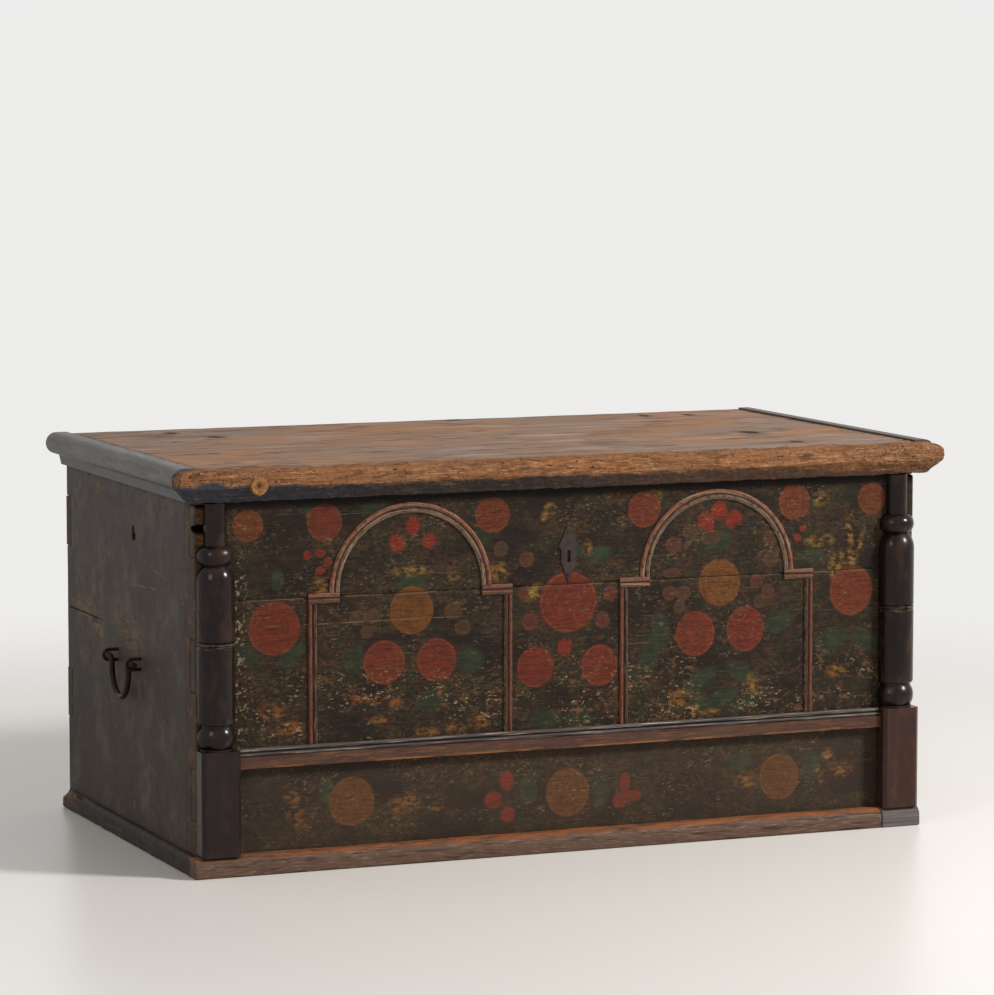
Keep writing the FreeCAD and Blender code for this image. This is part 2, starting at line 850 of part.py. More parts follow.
def lid_parts(strap_nail_holes):
    parts = [lid_front_edge()]
    end_nails = []
    end_holes = []
    for side, sign in SIDES.items():
        solids, holes = nails(f"{side}_end_nail", "x", end_nail_spots(sign), -sign,
                              size("end_nail_depth"), sunk=True)
        end_nails += solids
        end_holes += holes
        parts.append(cut(f"lid_end_moulding_{side}", end_moulding(side, sign), holes))
    depth = lid_back - plank_front
    first_seam = plank_front + depth * size("front_plank_share")
    second_seam = first_seam + depth * size("middle_plank_share")
    bounds = (plank_front, first_seam, second_seam, lid_back)
    for index, name in enumerate(PLANKS):
        blank = board(f"lid_plank_{name}_blank", (-plank_end, plank_end),
                      (bounds[index], bounds[index + 1]), (lid_underside, plank_top))
        parts.append(cut(f"lid_plank_{name}", blank, end_holes + strap_nail_holes))
    return parts + [group("lid_end_nails", end_nails)]


# Strap hinges: an eye on the lid strap between two eyes on the back strap

hinge_y = back_face + size("eye_radius")
hinge_z = lid_underside - size("eye_radius")
lid_strap_length = size("case_depth") * size("lid_strap_share")


def strap_outline(length, relief):
    """Half-tapered strap with a pointed end, seen flat, with its eye at the origin."""
    wide, tip = size("strap_width") / 2, size("strap_tip_width") / 2
    point = size("strap_width")
    return [
        (-wide, relief),
        (-tip, length - point),
        (0, length),
        (tip, length - point),
        (wide, relief),
    ]


def hinge(side, sign, lid_holes, back_holes):
    middle = sign * hinge_x
    relief = size("eye_radius") + size("knuckle_relief")
    thickness, knuckle = size("strap_thickness"), size("knuckle_width")
    eye, gap = size("eye_radius"), size("knuckle_gap")
    bore = size("hinge_pin_radius") + size("pin_clearance")
    whole = size("strap_width")
    left = middle - whole / 2

    lid_outline = [(x, -y) for x, y in strap_outline(lid_strap_length, relief)]
    lid_flat = run(f"{side}_lid_strap_flat", "XY", lid_outline, 0, thickness)
    place(lid_flat, middle, hinge_y, lid_underside - thickness)
    lid_tongue = board(f"{side}_lid_strap_tongue", (middle - knuckle / 2, middle + knuckle / 2),
                       (hinge_y - relief, hinge_y), (lid_underside - thickness, lid_underside))
    lid_eye = rod(f"{side}_lid_strap_eye", "x", (middle - knuckle / 2, hinge_y, hinge_z), eye, knuckle)
    lid_bore = rod(f"{side}_lid_strap_bore", "x", (left, hinge_y, hinge_z), bore, whole)
    lid_blank = fuse(f"{side}_lid_strap_blank", [lid_flat, lid_tongue, lid_eye])

    back_outline = [(x, -y) for x, y in strap_outline(size("back_strap_length"), relief)]
    back_flat = run(f"{side}_back_strap_flat", "XZ", back_outline, 0, thickness)
    place(back_flat, middle, back_face + thickness, hinge_z)
    back_pieces = [back_flat]
    outer = (whole - knuckle) / 2 - gap
    for hand, start in (("left", left), ("right", middle + knuckle / 2 + gap)):
        back_pieces.append(board(f"{side}_back_strap_tongue_{hand}", (start, start + outer),
                                 (back_face, back_face + thickness), (hinge_z - relief, hinge_z)))
        back_pieces.append(rod(f"{side}_back_strap_eye_{hand}", "x", (start, hinge_y, hinge_z), eye, outer))
    back_bore = rod(f"{side}_back_strap_bore", "x", (left, hinge_y, hinge_z), bore, whole)
    back_blank = fuse(f"{side}_back_strap_blank", back_pieces)
    return [
        cut(f"{side}_hinge_lid_strap", lid_blank, [lid_bore] + lid_holes),
        cut(f"{side}_hinge_back_strap", back_blank, [back_bore] + back_holes),
        rod(f"{side}_hinge_pin", "x", (left, hinge_y, hinge_z), size("hinge_pin_radius"), whole),
    ]


def back_nail_spots():
    spots = []
    for sign in SIDES.values():
        for share in BACK_NAIL_SHARES:
            spots.append((sign * hinge_x, back_face + size("strap_thickness"),
                          hinge_z - share * size("back_strap_length")))
    return spots


def lid_nail_spots():
    spots = []
    for sign in SIDES.values():
        for share in LID_NAIL_SHARES:
            spots.append((sign * hinge_x, hinge_y - share * lid_strap_length,
                          lid_underside - size("strap_thickness")))
    return spots


# Drop handles, each a bent rod hung in two wire eyes driven into the end board

handle_y = (front_face + back_face) / 2
eye_ring_radius = size("handle_rod_radius") + size("eye_clearance") + size("eye_wire_radius")
leg_run = size("handle_stand_off") + size("side_thickness") * size("eye_leg_share")


def handle_legs(side, sign, label, radius):
    """The four straight legs of a handle's two eyes, from inside the board out to the bend."""
    pivot_x = sign * (half_width + size("handle_stand_off"))
    start_x = pivot_x if sign < 0 else pivot_x - leg_run
    rods = []
    for reach in SIDES.values():
        y = handle_y + reach * size("handle_spread") / 2
        for level in (-1, 1):
            z = size("handle_height") + level * eye_ring_radius
            rods.append(rod(f"{side}_{label}_{len(rods)}", "x", (start_x, y, z), radius, leg_run))
    return rods


def handle_leg_holes(side, sign):
    return handle_legs(side, sign, "leg_hole", size("eye_wire_radius") + size("nail_clearance"))


def handle_eyes(side, sign):
    pivot_x = sign * (half_width + size("handle_stand_off"))
    legs = handle_legs(side, sign, "eye_leg", size("eye_wire_radius"))
    eyes = []
    for index, reach in enumerate(SIDES.values()):
        y = handle_y + reach * size("handle_spread") / 2
        bend = half_ring(f"{side}_eye_bend_{index}", eye_ring_radius, size("eye_wire_radius"))
        place(bend, pivot_x, y, size("handle_height"), turn=RING_OUT[sign])
        eyes.append(fuse(f"{side}_eye_{index}", [bend] + legs[2 * index:2 * index + 2]))
    return group(f"{side}_handle_eyes", eyes)


def handle_bail(side, sign):
    """A rod swept through out-turned tips, round shoulders and a half-round drop."""
    bend, drop = size("handle_bend"), size("handle_drop")
    tip = size("handle_spread") / 2 + size("handle_tip_length")
    shoulder = size("handle_spread") / 2 - size("handle_shoulder_gap")
    leg = shoulder - bend
    body = new_body(f"{side}_handle_bail")
    corners = [
        (-tip, 0),
        (-shoulder, 0),
        (-leg, -bend, bend, -1),
        (-leg, leg - drop),
        (0, -drop, leg, 1),
        (leg, leg - drop, leg, 1),
        (leg, -bend),
        (shoulder, 0, bend, -1),
        (tip, 0),
    ]
    path = draw(attach(body, f"{side}_bail_path", "YZ_Plane", 0), corners, closed=False)
    section = attach(body, f"{side}_bail_section", "XZ_Plane", tip)
    section.addGeometry(Part.Circle(Vector(), Vector(0, 0, 1), number(size("handle_rod_radius"))), False)
    section.addConstraint(Sketcher.Constraint("Coincident", 0, 3, -1, 1))
    rule = section.addConstraint(Sketcher.Constraint("Radius", 0, number(size("handle_rod_radius"))))
    bind(section, f"Constraints[{rule}]", size("handle_rod_radius"))
    pipe = body.newObject("PartDesign::AdditivePipe", f"{side}_bail_sweep")
    pipe.Profile = section
    pipe.Spine = (path, [f"Edge{index}" for index in range(1, len(corners))])
    return place(body, sign * (half_width + size("handle_stand_off")), handle_y, size("handle_height"))


# Put the trunk together

plate, plate_pins, plate_pin_holes = escutcheon()
back_nails, back_nail_holes = nails("hinge_back_nail", "y", back_nail_spots(), -1, size("nail_depth"))
strap_nails, strap_nail_holes = nails("hinge_lid_nail", "z", lid_nail_spots(), 1, size("nail_depth"))

pieces = case_boards(plate_pin_holes, back_nail_holes)
pieces += base_mouldings() + [mid_rail(), plate, plate_pins]
pieces += list(lock_parts()) + lid_parts(strap_nail_holes)
pieces.append(group("hinge_back_nails", back_nails))
pieces.append(group("hinge_lid_nails", strap_nails))
for side, sign in SIDES.items():
    pieces += [plinth(side, sign), column(side, sign)] + arcade(side, sign)
    pieces += hinge(side, sign, strap_nail_holes, back_nail_holes)
    pieces += [handle_eyes(side, sign), handle_bail(side, sign)]

doc.recompute()

# Check every feature, then write one file for each piece

failed = [item.Label for item in doc.Objects if {"Invalid", "Error"} & set(item.State)]
for piece in pieces:
    shape = piece.Shape
    if shape.isNull() or not shape.isValid() or not shape.Solids:
        failed.append(piece.Label)
if failed:
    raise RuntimeError(f"these failed to build: {sorted(set(failed))}")

os.makedirs("parts", exist_ok=True)
for piece in pieces:
    piece.Shape.exportStep(os.path.join("parts", piece.Label + ".step"))
    box = piece.Shape.BoundBox
    print(f"{piece.Label}: {len(piece.Shape.Solids)} solid, {piece.Shape.Volume / 1000:.1f} cm3,"
          f" x {box.XMin:.1f} {box.XMax:.1f} y {box.YMin:.1f} {box.YMax:.1f} z {box.ZMin:.1f} {box.ZMax:.1f}")
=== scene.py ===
# %% [markdown]
# # A painted trunk
# The trunk is a long box of planks with a moulded lid, turned half columns at the corners and
# flowers painted between two arches. The solids come from the CAD model. This lesson gives them
# old paint, bare wood and rust, and swaps the most worn pieces for copies with dents in them.

# %% Load the solids
import json
import math
from fnmatch import fnmatch
from functools import partial

import bpy
import numpy as np
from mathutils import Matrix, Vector

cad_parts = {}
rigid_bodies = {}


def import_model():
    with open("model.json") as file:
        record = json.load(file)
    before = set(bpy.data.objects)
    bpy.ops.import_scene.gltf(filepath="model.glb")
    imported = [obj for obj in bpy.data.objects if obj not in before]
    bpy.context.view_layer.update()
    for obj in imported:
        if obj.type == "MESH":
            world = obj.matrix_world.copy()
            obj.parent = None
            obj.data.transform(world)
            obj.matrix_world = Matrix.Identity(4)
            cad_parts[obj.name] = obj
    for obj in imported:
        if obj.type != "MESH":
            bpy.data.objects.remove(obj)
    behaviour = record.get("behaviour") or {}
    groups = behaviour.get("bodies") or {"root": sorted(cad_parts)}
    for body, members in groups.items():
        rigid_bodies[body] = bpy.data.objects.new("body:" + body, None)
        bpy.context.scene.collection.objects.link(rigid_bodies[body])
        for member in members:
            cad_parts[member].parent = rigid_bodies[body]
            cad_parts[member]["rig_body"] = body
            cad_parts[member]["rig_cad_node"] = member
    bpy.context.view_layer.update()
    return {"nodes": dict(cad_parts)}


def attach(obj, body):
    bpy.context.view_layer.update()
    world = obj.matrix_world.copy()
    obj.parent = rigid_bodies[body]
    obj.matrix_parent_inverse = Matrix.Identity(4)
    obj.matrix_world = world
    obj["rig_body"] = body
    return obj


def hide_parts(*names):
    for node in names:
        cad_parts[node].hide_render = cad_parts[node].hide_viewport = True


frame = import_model()
nodes = frame["nodes"]
print("pieces loaded:", len(nodes))

# %% [markdown]
# A finish often changes at an edge or a joint of the trunk. Those places could be typed in, but they
# are read off the solids, in millimetres, so that a line of wear lies where the edge really is.

# %% Edges and joints of the trunk
def box_mm(node):
    """The lowest and the highest corner of a piece, in millimetres."""
    corners = np.array(nodes[node].bound_box) * 1000
    return corners.min(axis=0), corners.max(axis=0)


END_FACE = box_mm("front_top_board")[1][0]
FRONT_FACE = box_mm("front_middle_board")[0][1]
FRONT_JOINT = box_mm("front_middle_board")[1][2]
END_JOINT = box_mm("left_side_lower_board")[1][2]
RAIL_BOTTOM = box_mm("mid_rail_moulding")[0][2]
RAIL_TOP = box_mm("mid_rail_moulding")[1][2]
BASE_TOP = box_mm("base_moulding_front")[1][2]
LIP_BOTTOM = box_mm("lid_front_edge")[0][2]
LID_UNDERSIDE = box_mm("lid_plank_front")[0][2]
PLANK_JOINTS = [box_mm("lid_plank_" + part)[1][1] for part in ("front", "middle")]
PLANK_END = box_mm("lid_plank_front")[1][0]
print("ends at", END_FACE, "front at", FRONT_FACE, "lid joints at", PLANK_JOINTS)

# %% [markdown]
# A few small helpers serve every finish. Hex colours are written as a screen shows them, so they
# are turned to linear light first. Nodes are added by one function that also links them, and the
# three kinds that are used most have a short name of their own.

# %% Colour and node helpers
def linear(code):
    """A hex colour as linear light."""
    shares = [int(code[i:i + 2], 16) / 255 for i in (1, 3, 5)]
    return tuple(s / 12.92 if s < 0.04045 else ((s + 0.055) / 1.055) ** 2.4 for s in shares) + (1.0,)


def add(tree, kind, inputs=None, **settings):
    """Add one shader node, set it up, and feed its inputs from values, sockets or nodes."""
    node = tree.nodes.new("ShaderNode" + kind)
    for name, value in settings.items():
        setattr(node, name, value)
    for key, value in (inputs or {}).items():
        if isinstance(value, bpy.types.Node):
            value = next(socket for socket in value.outputs if socket.enabled)
        if isinstance(value, bpy.types.NodeSocket):
            tree.links.new(value, node.inputs[key])
        else:
            node.inputs[key].default_value = value
    return node


def maths(tree, operation, *values):
    """One step of arithmetic on values, sockets or nodes."""
    return add(tree, "Math", dict(enumerate(values)), operation=operation)


def ramp(tree, value, start, end, low=0.0, high=1.0):
    """Turn a value that runs from start to end into one that runs from low to high."""
    limits = {"From Min": start, "From Max": end, "To Min": low, "To Max": high}
    return add(tree, "MapRange", {"Value": value, **limits})


def axes_of(tree, place):
    """The X, Y and Z of a place."""
    return add(tree, "SeparateXYZ", {0: place}).outputs


# %% [markdown]
# Old paint and old wood are layers. A mask says where a layer still shows, and its blotches have
# a real size in millimetres: long and thin for grain and scratches, round for stains. The coats
# then lie over each other as they do on the trunk.

# %% Layers of an old surface
def start(name):
    """A new material, its node tree, the place of each point in millimetres, and its blotches."""
    material = bpy.data.materials.new(name)
    material.use_nodes = True
    tree = material.node_tree
    place = add(tree, "TexCoord").outputs["Object"]
    millimetres = add(tree, "VectorMath", {0: place, 1: (1000, 1000, 1000)}, operation="MULTIPLY")
    return material, tree, millimetres, partial(blotches, tree, millimetres)


def blotches(tree, place, sizes, low, high, seed=0.0, detail=4.0):
    """A mask of blotches of these sizes along X, Y and Z, from 0 below low to 1 above high."""
    shrink = tuple(1 / size for size in sizes)
    local = add(tree, "Mapping", {"Vector": place, "Location": (seed, seed, seed), "Scale": shrink})
    noise = add(tree, "TexNoise", {"Vector": local, "Scale": 1.0, "Detail": detail, "Roughness": 0.62})
    return ramp(tree, noise, low, high)


def between(tree, value, low, high, soft):
    """A mask that is 1 where a value lies between two limits, with soft ends."""
    rise = ramp(tree, value, low - soft, low + soft)
    fall = ramp(tree, value, high + soft, high - soft)
    return maths(tree, "MULTIPLY", rise, fall)


def together(tree, *masks):
    """Where all of these masks hold."""
    result = masks[0]
    for mask in masks[1:]:
        result = maths(tree, "MULTIPLY", result, mask)
    return result


def coats(tree, ground, *layers):
    """Lay colours over a ground, each where its mask lets it show."""
    colour = linear(ground) if isinstance(ground, str) else ground
    for mask, coat in layers:
        over = linear(coat) if isinstance(coat, str) else coat
        colour = add(tree, "Mix", {0: mask, 6: colour, 7: over}, data_type="RGBA")
    return colour


def finish_surface(tree, colour, roughness, relief, depth, shine=0.15):
    """Give the shader its colour, its gloss and a relief of this depth in millimetres."""
    shader = tree.nodes["Principled BSDF"]
    shader.inputs["Specular IOR Level"].default_value = shine
    bump = add(tree, "Bump", {"Height": relief, "Distance": depth / 1000, "Strength": 1.0})
    for key, node in (("Base Color", colour), ("Normal", bump)):
        tree.links.new(next(s for s in node.outputs if s.enabled), shader.inputs[key])
    if isinstance(roughness, bpy.types.Node):
        tree.links.new(roughness.outputs[0], shader.inputs["Roughness"])
    else:
        shader.inputs["Roughness"].default_value = roughness


# %% [markdown]
# Bare pine shows inside the trunk, at the back and wherever paint has gone. Sawn pine darkens to a
# warm brown, and its grain runs along each plank. The grain is drawn as long thin blotches, about
# 3 mm apart, which is as coarse as it has to be to show.

# %% Bare aged pine
def pine_colour(tree, place, along):
    """Sawn pine that has darkened, with its grain along one axis."""
    fine = [3.0, 3.0, 3.0]
    fine[along] = 260.0
    broad = [24.0, 24.0, 24.0]
    broad[along] = 500.0
    grain = blotches(tree, place, fine, 0.42, 0.66, seed=4.0)
    bands = blotches(tree, place, broad, 0.40, 0.65, seed=9.0)
    return coats(tree, "#7d5f42", (bands, "#644a33"), (grain, "#4b3725")), grain


def bare_pine(name, along):
    """Bare boards, whose ends were painted over where they show on the end of the trunk."""
    material, tree, place, speckle = start(name)
    colour, grain = pine_colour(tree, place, along)
    wide = maths(tree, "ABSOLUTE", axes_of(tree, place)["X"])
    smears = speckle((12, 12, 16), 0.30, 0.50, seed=29.0)
    painted_end = together(tree, between(tree, wide, END_FACE - 1, END_FACE + 100, 0.4), smears)
    colour = coats(tree, colour, (painted_end, "#3f372f"))
    finish_surface(tree, colour, 0.72, grain, 0.4)
    return material


pine_along = bare_pine("aged_pine_sawn_lengthwise", 0)
print("made", pine_along.name)

# %% [markdown]
# The front is painted in oil on a dark ground: red and ochre rosettes drawn with a compass,
# tulips, small berries, leaves and dabs of yellow. A flower is a centre, a radius and a tone.
# Chains of nodes for so many flowers overflow the shader, so the boards' own mesh carries, at
# each point, its distance from the nearest flower as a share of that flower's radius.

# %% Places of the flowers on the front
# Each is x and z of the centre, half width and half height in millimetres, tone, and turn in degrees
# where a mark is turned.
FLOWERS = {
    "red": [(-495, 502, 23, 23, 0.25), (-378, 502, 27, 27, 0.7), (-456, 352, 39, 39, 0.8),
            (-287, 294, 32, 32, 0.75), (-205, 293, 31, 32, 0.8), (-117, 502, 27, 26, 0.45),
            (126, 500, 26, 27, 0.65), (4, 368, 46, 45, 0.85), (-49, 274, 29, 30, 0.9),
            (54, 271, 29, 31, 0.9), (210, 310, 32, 34, 0.75), (293, 313, 31, 34, 0.9),
            (374, 501, 26, 27, 0.45), (504, 501, 23, 24, 0.15), (470, 363, 36, 38, 0.55)],
    "ochre": [(-244, 368, 34, 35, 0.7), (250, 385, 34, 35, 0.8), (-338, 93, 35, 36, 0.3),
              (3, 84, 35, 36, 0.2), (351, 85, 33, 35, 0.25)],
    "berry": [(168, 373, 12, 12, 0.5), (191, 372, 12, 12, 0.5), (184, 352, 10, 11, 0.2),
              (311, 384, 11, 12, 0.6), (330, 368, 11, 12, 0.3), (316, 353, 10, 11, 0.2),
              (174, 445, 14, 13, 0.5), (201, 464, 13, 12, 0.1), (335, 448, 13, 13, 0.3),
              (335, 417, 14, 13, 0.2), (-64, 383, 13, 13, 0.8), (71, 378, 11, 13, 1.0),
              (-57, 342, 13, 14, 1.0), (59, 338, 12, 14, 0.8), (-63, 434, 13, 12, 0.6),
              (-104, 451, 12, 12, 0.1), (-328, 361, 13, 12, 0.2), (-305, 363, 12, 12, 0.1),
              (-314, 339, 10, 10, 0.2), (-179, 364, 15, 13, 0.3), (-164, 339, 13, 12, 0.2),
              (172, 403, 15, 8, 0.4), (236, 454, 18, 12, 0.0)],
    "tulip": [(-242, 491, 11, 14, 0.9), (-267, 467, 12, 13, 0.8), (-217, 469, 12, 11, 0.6, 20),
              (224, 479, 10, 13, 1.0, -35), (232, 474, 9, 12, 0.9, 10), (245, 493, 9, 14, 1.0, -14),
              (254, 493, 9, 14, 1.0, 14), (268, 477, 9, 12, 0.9, -10), (277, 482, 9, 13, 1.0, 35),
              (-9, 300, 4, 14, 0.4, 6), (-2, 301, 4, 15, 0.4), (5, 300, 4, 13, 0.5, -6),
              (-94, 107, 12, 15, 0.7, 10), (-116, 80, 15, 13, 0.6), (-93, 57, 12, 12, 0.5),
              (-405, 456, 6, 7, 0.7), (-385, 458, 9, 6, 0.8), (-373, 445, 6, 7, 0.6),
              (-385, 433, 8, 6, 0.6), (388, 461, 6, 5, 0.7), (379, 447, 7, 6, 0.5),
              (96, 91, 9, 17, 0.2), (108, 72, 16, 9, 0.15), (88, 66, 12, 12, 0.1, 30)],
    "dab": [(-28, 506, 12, 10, 0.7), (-35, 497, 6, 8, 0.6), (-50, 385, 15, 10, 1.0, 30),
            (417, 441, 22, 9, 1.0), (463, 412, 15, 15, 0.8), (444, 399, 12, 18, 0.7),
            (445, 240, 15, 11, 0.2), (-426, 85, 14, 17, 0.1), (-417, 66, 12, 10, 0.1),
            (-429, 105, 13, 9, 0.3), (-266, 83, 14, 15, 0.1), (-248, 87, 16, 13, 0.3),
            (456, 89, 17, 11, 0.2), (434, 110, 10, 14, 0.4, 20), (417, 89, 9, 9, 0.2),
            (-385, 410, 14, 13, 0.35), (-364, 418, 8, 18, 0.2), (-247, 425, 30, 7, 0.8),
            (-178, 417, 8, 12, 0.3), (62, 212, 14, 8, 0.2), (91, 213, 12, 9, 0.1),
            (186, 216, 14, 12, 0.3), (210, 195, 9, 9, 0.4), (303, 229, 12, 14, 0.5),
            (-137, 197, 18, 10, 0.3), (-176, 190, 16, 8, 0.4), (-220, 188, 18, 6, 0.2),
            (-432, 206, 20, 9, 0.0), (-459, 231, 18, 12, 0.1), (-332, 241, 9, 7, 0.0),
            (-304, 240, 12, 7, 0.1), (-270, 236, 9, 9, 0.0), (-399, 509, 8, 9, 0.5),
            (-123, 489, 20, 8, 0.4), (-109, 417, 18, 14, 0.5), (417, 504, 14, 10, 0.8),
            (141, 522, 12, 8, 0.8), (35, 445, 7, 14, 0.5), (296, 82, 18, 13, 0.4),
            (-205, 75, 10, 6, 0.4), (467, 449, 5, 30, 0.5, 10), (487, 439, 4, 24, 0.7, -14),
            (236, 189, 16, 6, 0.3), (-293, 210, 20, 5, 0.1)],
    "leaf": [(-450, 422, 10, 16, 0.9), (-429, 312, 26, 13, 0.5, 35), (-377, 113, 13, 20, 0.7),
             (-244, 408, 28, 12, 0.6), (51, 435, 24, 12, 1.0, 15), (244, 447, 28, 17, 0.5, 10),
             (153, 319, 15, 28, 0.5, 10), (136, 282, 16, 28, 0.4, -10), (351, 321, 26, 16, 0.4, 20),
             (218, 239, 30, 14, 0.6, 32), (288, 245, 30, 14, 0.6, -35), (258, 212, 26, 13, 0.8, 20),
             (224, 204, 24, 12, 0.6, -25), (296, 204, 26, 12, 0.5, 25), (439, 289, 26, 16, 0.5, 30),
             (494, 287, 26, 16, 0.5, -30), (406, 420, 20, 14, 0.7), (395, 499, 16, 10, 0.5, -20),
             (-153, 290, 22, 20, 0.3), (-216, 234, 24, 14, 0.3, 20), (-33, 195, 24, 15, 0.3),
             (23, 192, 22, 13, 0.4, 15), (56, 84, 15, 30, 0.6), (286, 112, 20, 15, 0.5),
             (404, 95, 15, 26, 0.6), (-61, 91, 15, 24, 0.5), (-300, 524, 20, 12, 0.4, 20),
             (-137, 469, 18, 12, 0.3), (-504, 318, 22, 16, 0.3, -25), (-334, 300, 18, 20, 0.2),
             (15, 444, 16, 10, 0.4), (106, 249, 14, 12, 0.3), (-399, 524, 20, 9, 0.3)],
}
# Raw wood shows where the corner of the top board has broken away.
CORNER_BREAK = (-561, -303, 500)
RAW_CORNER = [(-567, 521, 9, 11, 1.0), (-567, 486, 8, 10, 1.0), (-570, 440, 6, 14, 1.0)]
FRONT_MARKS = {**FLOWERS, "raw": RAW_CORNER}
print("flowers and leaves:", sum(map(len, FLOWERS.values())))


# %% [markdown]
# The same function marks any board: flowers on the front, knots on the lid, scrapes and rust on the
# ends. It works on two of the board's axes, and writes two numbers on every point for each kind of
# mark. A board without marks of a kind gets a distance too large to show.

# %% Mark a board
def mark(piece, kinds, first, second):
    """Store on each point how far off the nearest mark of each kind is, and that mark's tone."""
    count = len(piece.data.vertices)
    points = np.empty(count * 3)
    piece.data.vertices.foreach_get("co", points)
    places = points.reshape(-1, 3).T * 1000
    for kind, spots in kinds.items():
        nearest = np.full(count, 9.0)
        tones = np.zeros(count)
        for centre_a, centre_b, half_a, half_b, tone, *turned in spots:
            angle = math.radians(sum(turned))
            cosine, sine = math.cos(angle), math.sin(angle)
            off_a, off_b = places[first] - centre_a, places[second] - centre_b
            reach = np.hypot((off_a * cosine + off_b * sine) / half_a,
                             (off_b * cosine - off_a * sine) / half_b)
            tones[reach < nearest] = tone
            nearest = np.minimum(nearest, reach)
        for name, values in ((kind + "_reach", nearest), (kind + "_tone", tones)):
            piece.data.attributes.new(name, "FLOAT", "POINT").data.foreach_set("value", values)


def marked(tree, kind, wobble, rough):
    """The stored distance from a kind of mark, made ragged by a pattern, and the mark's tone."""
    stored = add(tree, "Attribute", attribute_name=kind + "_reach").outputs["Fac"]
    reach = maths(tree, "MULTIPLY_ADD", wobble, rough, stored)
    return reach, add(tree, "Attribute", attribute_name=kind + "_tone").outputs["Fac"]


# %% [markdown]
# The ground is nearly black, clouded with brown and green where layers of varnish and dirt lie
# over each other. The flowers go on it as flat discs with a thin light rim. Wear then takes paint
# away in flecks, most of all near the rail and the columns, and along fine scratches.

# %% The painted front
# How far an outline strays from its true curve, as a share of its radius, by compass and by brush.
COMPASS, BRUSH = 0.03, 0.12
# Height of a crack, the crumbled margin beside the left column, and the keyhole's place and half
# sizes, in millimetres.
CRACK = 355.1
MARGIN = box_mm("left_column")[1][0]
KEYHOLE_X, KEYHOLE_Z, KEYHOLE_WIDE, KEYHOLE_HIGH = 4, 436, 10, 16


